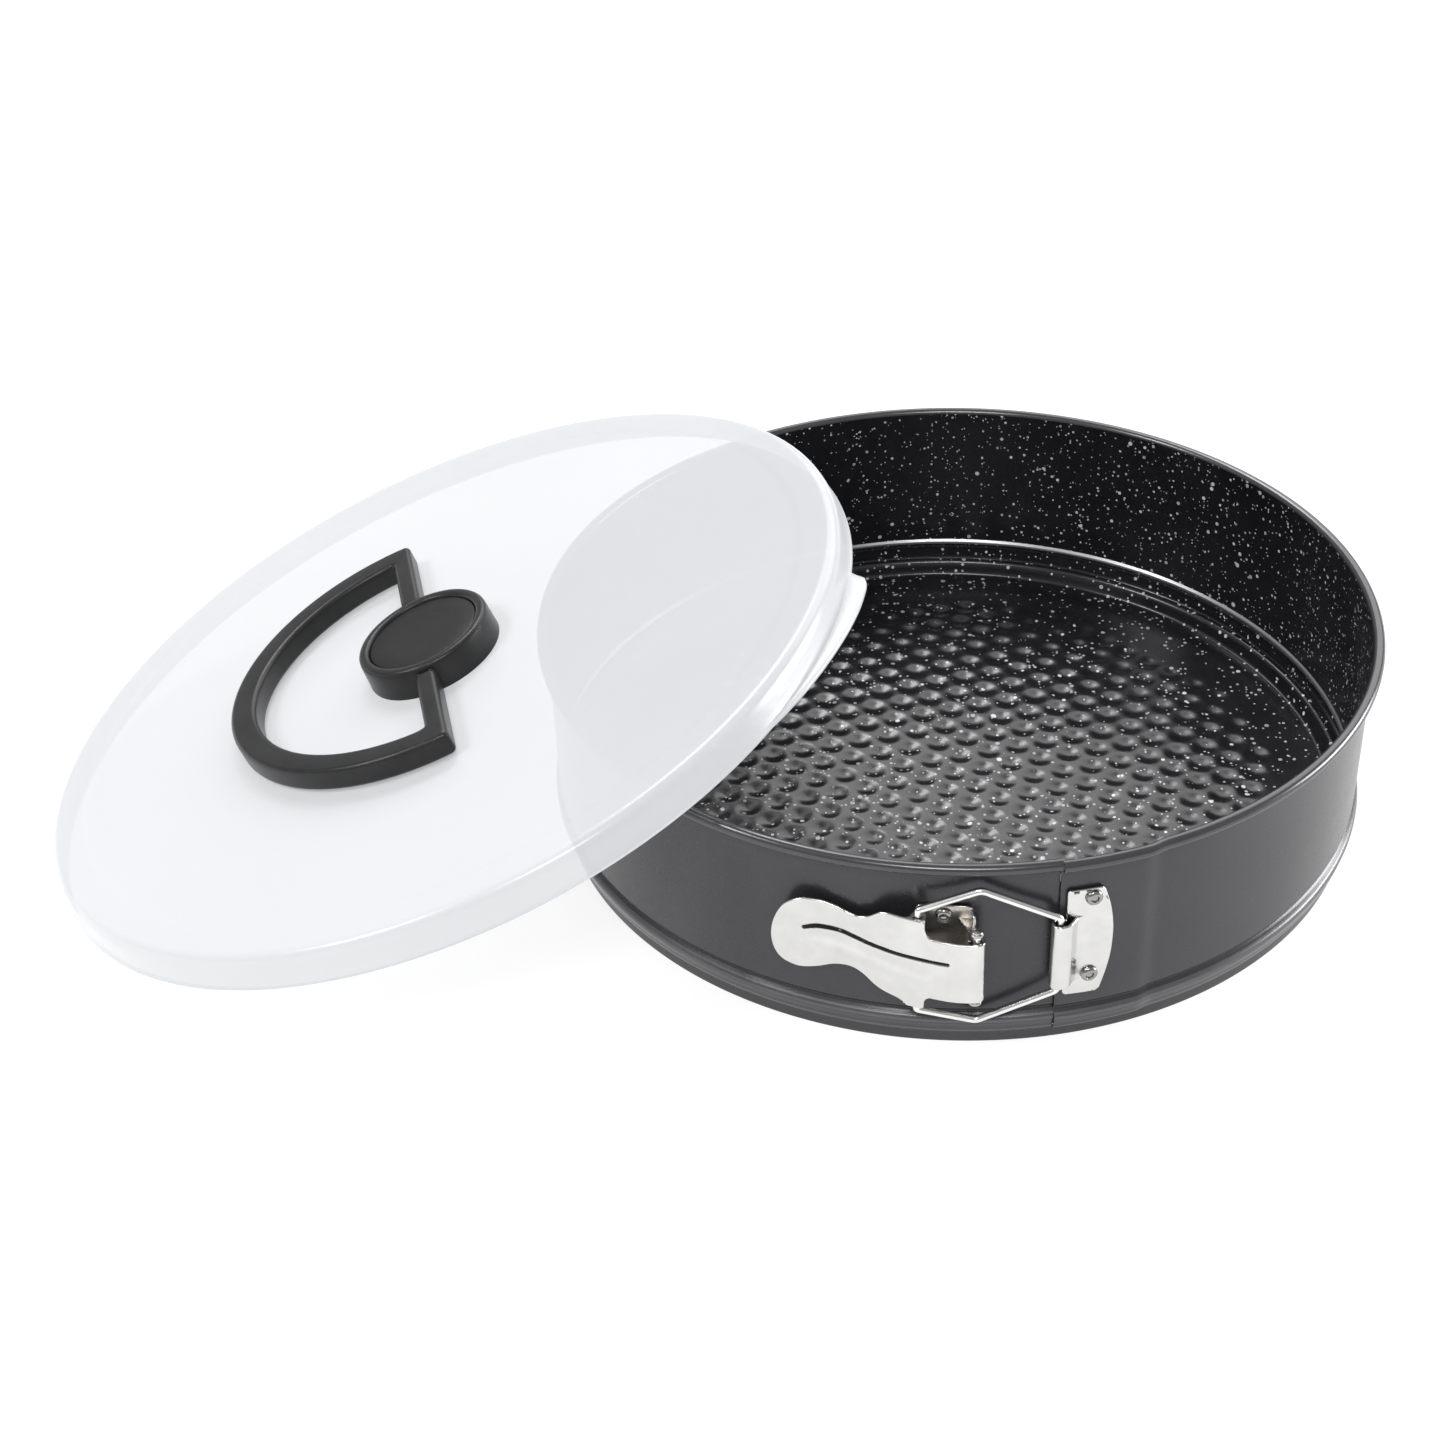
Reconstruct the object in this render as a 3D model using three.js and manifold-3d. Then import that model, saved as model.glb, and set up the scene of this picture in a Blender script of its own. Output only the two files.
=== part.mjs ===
// Springform baking pan with an over-centre wire latch, and its clip-on lid
// with a folding carrying handle, leaning against the pan's left side.
// Millimetres, +Z up. Origin: the pan's axis, on the table. The latch is at the
// front (-Y); the lid leans towards -X. Angles are measured round the pan from
// the front (-Y) towards +X.
import * as THREE from 'three';
import { mergeVertices } from 'three/addons/utils/BufferGeometryUtils.js';
import Module from 'manifold-3d';

const wasm = await Module();
wasm.setup();

// ---------------------------------------------------------------- dimensions
const GAP = 0.3;                 // running gap between touching pieces

const SHEET = 0.6;               // band sheet
const WALL_R = 129.6;            // band sheet, mid surface
const BEAD_R = 131.2;            // rolled rim: centre radius, height, roll radius
const BEAD_Z = 66.1;
const BEAD_ROLL = 1.5;
const WIRE_R = 0.85;             // wire inside the rolled rim
const HEM_R = 128.3;             // hem below the channel, mid surface
const LAP_FROM = 9.35;           // degrees: edge of the outer layer of the lap
const LAP_JOG = 0.95;            // outer layer stands out by this much
const TONGUE_TO = 19.3;          // inner layer runs on to here

const BASE_R = 128.7;            // edge of the base's flange
const BASE_T = 0.8;

const Z0 = 36.0;                 // latch centre height
const PIVOT = [-0.9, 137.2];     // lever pivot: angle, radius
const EAR = [-7.8, 134.9];       // where the wire loop joins the lever's ears
const CATCH = [9.2, 133.8];      // where the wire loop's bar turns in the catch
const LEVER_T = 1.0;
const BAIL_WIRE_R = 1.1;

const LID_TILT = 19.5;           // degrees from level
const LID_C = [-162.8, -5.9, 46.2]; // centre of the lid's bottom plane
const LID_R = 138.3;             // skirt radius at the bottom
const LID_UNDER = 10.35;         // underside of the plate above the bottom plane
const LID_T = 1.0;
const HUB_R = 22.4;
const HUB_TOP = 21.4;
const AXIS_H = 16.0;             // handle pivot axis above the bottom plane
const AXIS_OFF = 2.2;            // and towards the bow from the hub's centre
const AXIS_YAW = 13.5;           // degrees: handle axis turned about the lid's normal
const HANDLE_R = 64.0;           // outside of the handle's bow
const BOW_OFF = 2.1;             // bow centre beyond the pivot axis
const HANDLE_W = 9.0;
const HANDLE_T = 8.2;
const ARM_W = 6.8;

const RING_STEPS = 32;           // facets per half ring

// ------------------------------------------------------------------- helpers
const rad = THREE.MathUtils.degToRad;
const polar = (deg, r) => [r * Math.sin(rad(deg)), -r * Math.cos(rad(deg))];

function volume(g) {
  const p = g.attributes.position, ix = g.index;
  const n = ix ? ix.count : p.count;
  const at = (k) => { const i = ix ? ix.getX(k) : k; return new THREE.Vector3(p.getX(i), p.getY(i), p.getZ(i)); };
  let v = 0;
  for (let k = 0; k < n; k += 3) v += at(k).dot(at(k + 1).cross(at(k + 2))) / 6;
  return v;
}

// closed geometry -> solid, faces turned outwards
function solid(geometry) {
  let g = geometry.clone();
  for (const name of Object.keys(g.attributes)) if (name !== 'position') g.deleteAttribute(name);
  g = mergeVertices(g, 1e-4);
  const flip = volume(g) < 0;
  const tri = new Uint32Array(g.index.array);
  if (flip) for (let i = 0; i < tri.length; i += 3) { const t = tri[i]; tri[i] = tri[i + 1]; tri[i + 1] = t; }
  const keep = [];
  for (let i = 0; i < tri.length; i += 3)
    if (tri[i] !== tri[i + 1] && tri[i + 1] !== tri[i + 2] && tri[i] !== tri[i + 2]) keep.push(tri[i], tri[i + 1], tri[i + 2]);
  return new wasm.Manifold(new wasm.Mesh({
    numProp: 3,
    vertProperties: new Float32Array(g.attributes.position.array),
    triVerts: new Uint32Array(keep),
  }));
}

function geometryOf(m) {
  const mesh = m.getMesh();
  const g = new THREE.BufferGeometry();
  const n = mesh.vertProperties.length / mesh.numProp;
  const pos = new Float32Array(n * 3);
  for (let i = 0; i < n; i++) for (let k = 0; k < 3; k++) pos[3 * i + k] = mesh.vertProperties[i * mesh.numProp + k];
  g.setAttribute('position', new THREE.BufferAttribute(pos, 3));
  g.setIndex(new THREE.BufferAttribute(new Uint32Array(mesh.triVerts), 1));
  g.computeVertexNormals();
  return g;
}

const shapeOf = (pts) => new THREE.Shape(pts.map((p) => new THREE.Vector2(p[0], p[1])));

// closed outline of a strip of thickness t along a polyline
function strip(pts, t) {
  const l = [], r = [];
  for (let i = 0; i < pts.length; i++) {
    const a = pts[Math.max(i - 1, 0)], b = pts[Math.min(i + 1, pts.length - 1)], c = pts[i];
    const d1 = new THREE.Vector2(c[0] - a[0], c[1] - a[1]), d2 = new THREE.Vector2(b[0] - c[0], b[1] - c[1]);
    if (i === 0) d1.copy(d2);
    if (i === pts.length - 1) d2.copy(d1);
    d1.normalize(); d2.normalize();
    const n = new THREE.Vector2(-(d1.y + d2.y), d1.x + d2.x).normalize();
    const k = t / 2 / Math.max(0.5, n.x * -d1.y + n.y * d1.x);
    l.push([c[0] + n.x * k, c[1] + n.y * k]);
    r.push([c[0] - n.x * k, c[1] - n.y * k]);
  }
  return l.concat(r.reverse());
}

const arc = (cx, cy, r, a0, a1, n) => Array.from({ length: n + 1 }, (_, i) => {
  const a = rad(a0 + (a1 - a0) * i / n);
  return [cx + r * Math.cos(a), cy + r * Math.sin(a)];
});

// a flat outline in (radius, height), swept round the pan's axis through the listed angles
function sweep(outline, angles, shift = () => 0) {
  const steps = angles.length - 1;
  const g = new THREE.ExtrudeGeometry(shapeOf(outline), { depth: 1, steps, bevelEnabled: false });
  const p = g.attributes.position;
  for (let i = 0; i < p.count; i++) {
    const a = angles[Math.round(p.getZ(i) * steps)], z = p.getY(i), r = p.getX(i) + shift(a, z);
    const [x, y] = polar(a, r);
    p.setXYZ(i, x, y, z);
  }
  return solid(g);
}
const spread = (a, b, n) => Array.from({ length: n + 1 }, (_, i) => a + (b - a) * i / n);

// outline in (x, y), standing between two heights
function upright(outline, z0, z1) {
  const g = new THREE.ExtrudeGeometry(shapeOf(outline), { depth: z1 - z0, steps: 1, bevelEnabled: false });
  g.translate(0, 0, z0);
  return solid(g);
}

// outline in (tangent, z) of a local frame at an angle round the pan, cut through radially
function radialCut(outline, deg, r0, r1) {
  const g = new THREE.ExtrudeGeometry(shapeOf(outline), { depth: r1 - r0, steps: 1, bevelEnabled: false });
  const t = new THREE.Vector3(Math.cos(rad(deg)), Math.sin(rad(deg)), 0);
  const n = new THREE.Vector3(Math.sin(rad(deg)), -Math.cos(rad(deg)), 0);
  const m = new THREE.Matrix4().makeBasis(t, new THREE.Vector3(0, 0, 1), n);
  g.translate(0, 0, r0);
  g.applyMatrix4(m);
  return solid(g);
}

// closed profile (radius, height) turned round Z
function turned(profile, segments) {
  const g = new THREE.LatheGeometry(profile.map((p) => new THREE.Vector2(p[0], p[1])), segments);
  g.rotateX(Math.PI / 2);
  return solid(g);
}

// turned piece whose axis points out of the pan at an angle round it
function radialTurned(profile, deg, z, segments = 14) {
  const g = new THREE.LatheGeometry(profile.map((p) => new THREE.Vector2(p[0], p[1])), segments);
  const n = new THREE.Vector3(Math.sin(rad(deg)), -Math.cos(rad(deg)), 0);
  g.applyQuaternion(new THREE.Quaternion().setFromUnitVectors(new THREE.Vector3(0, 1, 0), n));
  g.translate(0, 0, z);
  return solid(g);
}

const finish = {
  coat: { color: 0x3b3b3d, roughness: 0.42, metalness: 0.6 },
  inside: { color: 0x202124, roughness: 0.35, metalness: 0.4 },
  nickel: { color: 0xd9d8d3, roughness: 0.28, metalness: 1.0 },
  wire: { color: 0xbfbfbd, roughness: 0.25, metalness: 1.0 },
  lid: { color: 0xe9ebef, roughness: 0.3, metalness: 0.0, transparent: true, opacity: 0.55 },
  black: { color: 0x1f1f20, roughness: 0.55, metalness: 0.0 },
};

const group = new THREE.Group();
const lidGroup = new THREE.Group();
lidGroup.position.set(...LID_C);
lidGroup.rotation.y = -rad(LID_TILT);

function add(name, m, look, parent = group) {
  const mesh = new THREE.Mesh(geometryOf(m), new THREE.MeshStandardMaterial(finish[look]));
  mesh.name = name;
  parent.add(mesh);
  return mesh;
}

// ------------------------------------------------------------------ pan wall
// hem, shoulder under the base's flange, channel bulge, wall, rolled rim
const hemAndWall = [
  [HEM_R, 0], [HEM_R, 3.6], [128.9, 4.5], [129.7, 5.3], [130.2, 6.8], [130.75, 9.2],
  [130.5, 10.7], [129.15, 12.1], [129.15, 12.8], [WALL_R, 13.6],
];
const rimRoll = arc(BEAD_R, BEAD_Z, BEAD_ROLL, 180, -95, 8);
const bandPath = [...hemAndWall, [WALL_R, 64.4], ...rimRoll];
const tonguePath = [[130.22, 6.9], [130.75, 9.2], [130.5, 10.7], [129.15, 12.1], [129.15, 12.8], [WALL_R, 13.6], [WALL_R, 63.4]];

const jog = (a, z) => {
  const w = THREE.MathUtils.clamp((z - 4.7) / 0.9, 0, 1);
  const s = a < 20.3 ? 1 : a > 22.3 ? 0 : (22.3 - a) / 2;
  return LAP_JOG * w * s;
};

const leftFull = sweep(strip(bandPath, SHEET), spread(-179.85, LAP_FROM - 0.35, RING_STEPS));
const tongue = sweep(strip(tonguePath, SHEET - 0.05), spread(7.4, TONGUE_TO, 4));
const rightAngles = [LAP_FROM, 14.8, 20.3, 22.3, ...spread(22.3, 179.85, 28).slice(1)];
const rightFull = sweep(strip(bandPath, SHEET), rightAngles, jog);

const BRACKET_RIVET = [-4.8, 14.0];   // angle, height above or below the latch centre
const CATCH_RIVET = [13.4, 17.7, -10.2];   // angle, heights from the latch centre
const hole = (deg, z, r, r0, r1) => radialTurned([[0, r0], [r, r0], [r, r1], [0, r1]], deg, z, 12);
let bandLeft = leftFull.add(tongue);
let bandRight = rightFull;
for (const s of [-1, 1]) {
  bandLeft = bandLeft.subtract(hole(BRACKET_RIVET[0], Z0 + s * BRACKET_RIVET[1], 1.5, 127, 133));
  bandRight = bandRight.subtract(hole(CATCH_RIVET[0], Z0 + CATCH_RIVET[s > 0 ? 1 : 2], 1.5, 130.05, 134));
}
add('band_left', bandLeft, 'coat');
add('band_right', bandRight, 'coat');

const wireSection = arc(BEAD_R, BEAD_Z, WIRE_R, 0, 360, 6).slice(0, 6);
add('rim_wire_left', sweep(wireSection, spread(-179.6, LAP_FROM - 0.8, RING_STEPS)), 'wire');
add('rim_wire_right', sweep(wireSection, [LAP_FROM + 0.4, 14.8, 20.3, 22.3, ...spread(22.3, 179.6, 28).slice(1)], jog), 'wire');

// ---------------------------------------------------------------------- base
const basePath = [[BASE_R, 6.15], [127.4, 6.15], [126.4, 5.8], [125.6, 4.7], [124.8, 1.6], [123.8, 0.6], [122.6, 0.4]];
const outer = strip(basePath, BASE_T);
const nP = basePath.length;
const upper = outer.slice(nP).reverse(), lower = outer.slice(0, nP);
// which side is the top one
const [top, bottom] = upper[1][1] > lower[1][1] ? [upper, lower] : [lower, upper];
const baseProfile = [[0, 0.0], ...bottom.slice().reverse().map((p, i) => (i === 0 ? [p[0], 0.0] : p)), ...top, [0, 0.8]];
add('base_plate', turned(baseProfile, 60), 'inside');

// --------------------------------------------------------------------- latch
const P0 = polar(...PIVOT), P1 = polar(...EAR), P2 = polar(...CATCH);

// bracket: curved foot, upstand along its right edge and two ears that hold the pivot pin
{
  const slab = sweep([[130.2, Z0 - 19], [131.2, Z0 - 19], [131.2, Z0 + 19], [130.2, Z0 + 19]], spread(-10, 3, 8));
  const w = 17.2, x0 = -19.0, x1 = -0.9, c = 4;
  const foot = radialCut([[x0 + c, Z0 - w], [x1 - c, Z0 - w], [x1, Z0 - w + c], [x1, Z0 + w - c], [x1 - c, Z0 + w], [x0 + c, Z0 + w], [x0, Z0 + w - c], [x0, Z0 - w + c]], 0, 125, 135);
  let m = slab.intersect(foot);
  const ear = [polar(-3.6, 130.7), ...arc(P0[0], P0[1], 2.9, 190, 350, 7), polar(-0.6, 130.7)];
  for (const s of [-1, 1]) m = m.add(upright(ear, Z0 + (s > 0 ? 12.0 : -13.0), Z0 + (s > 0 ? 13.0 : -12.0)));
  m = m.add(upright([polar(-1.32, 130.7), polar(-1.32, 133.5), polar(-0.9, 133.5), polar(-0.9, 130.7)], Z0 - 13.0, Z0 + 13.0));
  m = m.subtract(upright(arc(P0[0], P0[1], 1.38, 0, 360, 12).slice(0, 12), Z0 - 16, Z0 + 16));
  for (const s of [-1, 1]) m = m.subtract(hole(BRACKET_RIVET[0], Z0 + s * BRACKET_RIVET[1], 1.5, 127, 133));
  add('latch_bracket', m, 'nickel');
}
const rivet = (deg, z, inner, seat) => radialTurned([[0, inner], [1.15, inner], [1.15, seat], [2.5, seat], [2.35, seat + 0.6], [1.5, seat + 1.05], [0, seat + 1.15]], deg, z);
add('bracket_rivet_top', rivet(BRACKET_RIVET[0], Z0 + BRACKET_RIVET[1], 129.32, 131.5), 'nickel');
add('bracket_rivet_bottom', rivet(BRACKET_RIVET[0], Z0 - BRACKET_RIVET[1], 129.32, 131.5), 'nickel');

{
  const pin = turned([[0, Z0 - 13.45], [1.65, Z0 - 13.45], [1.65, Z0 - 13.06], [1.2, Z0 - 13.06], [1.2, Z0 + 13.06], [1.65, Z0 + 13.06], [1.65, Z0 + 13.45], [0, Z0 + 13.45]], 14);
  add('lever_pivot_pin', pin.translate([P0[0], P0[1], 0]), 'nickel');
}

// lever: rolled knuckle, body that comes down to the wall, waist and round finger tab
{
  const knuckle = arc(P0[0], P0[1], 2.05, 185, -91, 12);
  const plate = [[-3, 139.05], [-5, 138.2], [-7.6, 136.7], [-10, 135.3], [-12.6, 133.7], [-15.4, 132.5], [-18, 132.2], [-21, 132.8], [-24, 133.9], [-27.5, 135.4]].map((p) => polar(...p));
  const body = upright(strip([...knuckle, ...plate], LEVER_T), Z0 - 18, Z0 + 18);
  // outline in the local frame at -12 degrees, upper and lower edge from the knuckle to the tab
  const over = [[31, 9.8], [14.0, 10.3], [12.7, 11.6], [12.2, 15.98], [1.2, 15.98], [-0.8, 15.6], [-2.4, 14.3], [-3.9, 13.1], [-5.6, 12.3], [-7.8, 11.9], [-10.1, 12.5], [-13.3, 13.8], [-16.0, 14.6], [-18.7, 15.2]];
  const under = [[31, -11.35], [14.0, -11.35], [12.7, -12.4], [12.2, -15.98], [4.6, -15.98], [4.3, -14.0], [0.6, -13.1], [-2.2, -11.8], [-6.0, -8.7], [-9.7, -7.3], [-14.4, -7.7], [-19.0, -9.5]];
  const tab = [[-23.2, 15.1], [-26.8, 13.6], [-29.6, 10.8], [-31.9, 5.7], [-32.7, 0.3], [-32.1, -4.5], [-30.1, -7.9], [-26.8, -9.8], [-23.6, -10.4]];
  const outline = [...over, ...tab, ...under.reverse()].map((p) => [p[0], Z0 + p[1]]);
  let m = body.intersect(radialCut(outline, -12, 118, 150));
  const ear = [polar(-6.9, 137.15), ...arc(P1[0], P1[1], 2.5, 10, 170, 7), polar(-9.6, 135.55)];
  for (const s of [-1, 1]) m = m.add(upright(ear, Z0 + (s > 0 ? 15.0 : -15.98), Z0 + (s > 0 ? 15.98 : -15.0)));
  m = m.subtract(upright(arc(P1[0], P1[1], 1.5, 0, 360, 10).slice(0, 10), Z0 - 18, Z0 + 18).intersect(
    upright([[P1[0] - 3, P1[1] - 3], [P1[0] + 3, P1[1] - 3], [P1[0] + 3, P1[1] + 3], [P1[0] - 3, P1[1] + 3]], Z0 - 17, Z0 + 17)));
  add('latch_lever', m, 'nickel');
}

// wire loop: six-sided, its straight bar in the catch, its turned-in ends at the lever's ears
{
  const L = Math.hypot(P2[0] - P1[0], P2[1] - P1[1]);
  const half = [[0, 16.45], [0, 17.3], [0.9, 18.5], [8.5, 21.2], [15.2, 23.5], [17.2, 23.6], [19.2, 22.6], [29, 18.0], [37.2, 14.3], [L - 0.9, 13.3], [L - 0.12, 12.2], [L, 11.0]];
  const at = (u, w) => new THREE.Vector3(P1[0] + (P2[0] - P1[0]) * u / L, P1[1] + (P2[1] - P1[1]) * u / L, Z0 + w);
  const pts = [...half.map((p) => at(p[0], p[1])), at(L, 0), ...half.slice().reverse().map((p) => at(p[0], -p[1]))];
  const path = new THREE.CatmullRomCurve3(pts, false, 'centripetal');
  const g = new THREE.ExtrudeGeometry(shapeOf(arc(0, 0, BAIL_WIRE_R, 0, 360, 8).slice(0, 8)), { steps: 52, extrudePath: path, bevelEnabled: false });
  add('wire_bail', solid(g), 'wire');
}

// catch: curved plate with a bowed right edge, and a tongue rolled round the loop's bar
{
  const slab = sweep([[131.15, Z0 - 20], [132.15, Z0 - 20], [132.15, Z0 + 21], [131.15, Z0 + 21]], spread(9.8, 17.6, 6));
  const x = (deg) => 131.65 * Math.sin(rad(deg - 13));
  const outline = [[x(10.3), Z0 - 17.3], [x(14.2), Z0 - 17.7], [x(14.9), Z0 - 17.0], [x(15.6), Z0 - 11], [x(16.1), Z0 - 4.5], [x(16.25), Z0 + 3], [x(16.15), Z0 + 8], [x(15.7), Z0 + 14], [x(15.1), Z0 + 19.2], [x(14.5), Z0 + 20.6], [x(10.3), Z0 + 20.8], [x(10.05), Z0 + 20.2], [x(10.05), Z0 - 16.8]];
  let m = slab.intersect(radialCut(outline, 13, 128, 135));
  const roll = [polar(13.0, 131.66), polar(12.2, 131.75), polar(11.35, 132.55), polar(10.85, 133.7), polar(10.4, 134.8), polar(9.95, 135.5), ...arc(P2[0], P2[1], 2.05, 283, 35, 12)];
  m = m.add(upright(strip(roll, 0.8), Z0 - 11.4, Z0 + 11.4));
  for (const k of [1, 2]) m = m.subtract(hole(CATCH_RIVET[0], Z0 + CATCH_RIVET[k], 1.5, 129, 134));
  add('catch_plate', m, 'nickel');
}
add('catch_rivet_top', rivet(CATCH_RIVET[0], Z0 + CATCH_RIVET[1], 130.3, 132.45), 'nickel');
add('catch_rivet_bottom', rivet(CATCH_RIVET[0], Z0 + CATCH_RIVET[2], 130.3, 132.45), 'nickel');

// ----------------------------------------------------------------------- lid
{
  const top = LID_UNDER + LID_T;
  const profile = [
    [2.4, LID_UNDER], [132.6, LID_UNDER], [134.4, LID_UNDER - 0.5], [135.5, LID_UNDER - 1.8], [136.0, 5], [136.3, 1.4], [136.5, 0],
    [LID_R, 0], [138.1, 1.2], [137.6, 5], [137.1, 8.6], [136.2, 10.7], [134.4, top - 0.3], [132.6, top], [2.4, top],
  ];
  let m = turned([...profile, profile[0]], 68);
  // finger tab: a shelf on the skirt's bottom edge
  const r = [138.9, 143.2, 144.3, 144.0, 143.2, 142.2, 141.2, 140.2, 139.0];
  const a = [7, 8, 10, 14, 18, 22, 26, 30, 34];
  const outerEdge = a.map((d, i) => [r[i] * Math.cos(rad(-d)), r[i] * Math.sin(rad(-d))]);
  const innerEdge = spread(34, 7, 6).map((d) => [137.2 * Math.cos(rad(-d)), 137.2 * Math.sin(rad(-d))]);
  m = m.add(upright([...outerEdge, ...innerEdge], 0.02, 1.7));
  add('lid_shell', m, 'lid', lidGroup);
}

// handle axis frame: local x along the axis, y towards the bow, z along the lid's normal
const yaw = new THREE.Matrix4().makeBasis(
  new THREE.Vector3(Math.sin(rad(AXIS_YAW)), -Math.cos(rad(AXIS_YAW)), 0),
  new THREE.Vector3(-Math.cos(rad(AXIS_YAW)), -Math.sin(rad(AXIS_YAW)), 0),
  new THREE.Vector3(0, 0, -1));
// keep it right-handed: x axis, then bow direction, then normal
yaw.makeBasis(
  new THREE.Vector3(-Math.sin(rad(AXIS_YAW)), Math.cos(rad(AXIS_YAW)), 0),
  new THREE.Vector3(-Math.cos(rad(AXIS_YAW)), -Math.sin(rad(AXIS_YAW)), 0),
  new THREE.Vector3(0, 0, 1));
const inAxisFrame = (g) => { g.translate(0, AXIS_OFF, AXIS_H); g.applyMatrix4(yaw); return solid(g); };

{
  const low = LID_UNDER + LID_T + GAP;
  let hub = turned([[2.0, low], [HUB_R + 0.3, low], [HUB_R + 0.3, low + 0.8], [HUB_R, 17.5], [HUB_R - 0.2, HUB_TOP - 0.9], [HUB_R - 1.1, HUB_TOP], [19.4, HUB_TOP], [18.6, HUB_TOP - 0.6], [18.6, 18.9], [0, 18.9], [0, 17.2], [2.0, 17.2], [2.0, low]], 36);
  for (const s of [-1, 1]) {
    const bore = new THREE.CylinderGeometry(2.9, 2.9, 8, 14);
    bore.rotateZ(Math.PI / 2);
    bore.translate(s * 22, 0, 0);
    hub = hub.subtract(inAxisFrame(bore));
  }
  add('handle_hub', hub, 'black', lidGroup);
  add('hub_cap', turned([[0, 19.2], [18.2, 19.2], [18.2, 20.1], [17.8, 20.5], [0, 20.5]], 32), 'black', lidGroup);
  add('hub_washer', turned([[2.1, 8.5], [8.5, 8.5], [8.8, 8.8], [8.8, 10.05], [2.1, 10.05], [2.1, 8.5]], 28), 'black', lidGroup);
  add('hub_screw', turned([[0, 6.2], [2.6, 6.2], [3.6, 7.0], [3.6, 8.2], [1.6, 8.2], [1.6, 16.4], [0, 16.9]], 16), 'nickel', lidGroup);
}

// handle: D shape lying flat, open at the hub, with a stub pin on each arm
{
  const a0 = HUB_R + 0.6, w = ARM_W / 2, ri = HANDLE_R - HANDLE_W;
  const angOut = THREE.MathUtils.radToDeg(Math.asin((w + BOW_OFF - 2.4) / HANDLE_R));
  const angIn = THREE.MathUtils.radToDeg(Math.asin((w + 2.4 - BOW_OFF) / ri));
  const xo = HANDLE_R * Math.cos(rad(angOut)), xin = ri * Math.cos(rad(angIn));
  const outline = [
    [a0, -w], [xo - 2.4, -w], [xo - 0.8, 0.7 - w], ...arc(0, BOW_OFF, HANDLE_R, -angOut, 180 + angOut, 26), [0.8 - xo, 0.7 - w], [2.4 - xo, -w], [-a0, -w], [-a0, w],
    [-xin + 2.4, w], ...arc(0, BOW_OFF, ri, 180 - angIn, angIn, 22), [xin - 2.4, w], [a0, w],
  ];
  const b = 1.8;
  const g = new THREE.ExtrudeGeometry(shapeOf(outline), { depth: HANDLE_T - 2 * b, steps: 1, bevelEnabled: true, bevelThickness: b, bevelSize: b, bevelOffset: -b, bevelSegments: 2 });
  g.translate(0, 0, -(HANDLE_T - 2 * b) / 2);
  let m = inAxisFrame(g);
  for (const s of [-1, 1]) {
    const stub = new THREE.CylinderGeometry(2.5, 2.5, 9, 14);
    stub.rotateZ(Math.PI / 2);
    stub.translate(s * 23.2, 0, 0);
    m = m.add(inAxisFrame(stub));
  }
  add('handle_bail', m, 'black', lidGroup);
}

group.add(lidGroup);

export default group;
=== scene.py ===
import bpy, bmesh, math
import numpy as np
from mathutils import Matrix, Vector
from mathutils.geometry import delaunay_2d_cdt


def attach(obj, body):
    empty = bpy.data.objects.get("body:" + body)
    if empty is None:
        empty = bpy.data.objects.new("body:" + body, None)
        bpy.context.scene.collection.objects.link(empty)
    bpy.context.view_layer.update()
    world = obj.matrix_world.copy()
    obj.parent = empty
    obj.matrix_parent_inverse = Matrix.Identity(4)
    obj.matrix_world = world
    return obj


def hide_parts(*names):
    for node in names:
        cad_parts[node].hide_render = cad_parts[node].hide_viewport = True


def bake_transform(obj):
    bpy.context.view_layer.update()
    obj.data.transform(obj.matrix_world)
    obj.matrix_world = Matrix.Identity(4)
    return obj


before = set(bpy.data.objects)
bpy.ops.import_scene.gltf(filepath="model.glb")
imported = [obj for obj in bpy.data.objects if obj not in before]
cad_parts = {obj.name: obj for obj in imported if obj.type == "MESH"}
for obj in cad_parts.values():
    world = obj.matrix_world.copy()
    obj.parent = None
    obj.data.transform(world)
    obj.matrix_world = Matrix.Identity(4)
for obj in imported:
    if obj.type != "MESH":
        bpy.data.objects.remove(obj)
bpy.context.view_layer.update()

MM = 0.001
rad = math.radians
col = bpy.context.scene.collection


# ------------------------------------------------------------------ node helpers
def new_mat(name):
    m = bpy.data.materials.new(name)
    m.use_nodes = True
    nt = m.node_tree
    bsdf = nt.nodes["Principled BSDF"]
    return m, nt, bsdf


def node(nt, kind, **kw):
    n = nt.nodes.new(kind)
    for k, v in kw.items():
        if k.startswith("in_"):
            key = k[3:]
            n.inputs[int(key) if key.isdigit() else key.replace("_", " ")].default_value = v
        else:
            setattr(n, k, v)
    return n


def ramp(nt, stops, interp="LINEAR"):
    n = nt.nodes.new("ShaderNodeValToRGB")
    n.color_ramp.interpolation = interp
    e = n.color_ramp.elements
    while len(e) > len(stops):
        e.remove(e[-1])
    for i, (p, c) in enumerate(stops):
        if i >= len(e):
            e.new(p)
        e[i].position = p
        c = (c, c, c, 1) if not isinstance(c, (tuple, list)) else tuple(c)
        e[i].color = c
    return n


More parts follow.
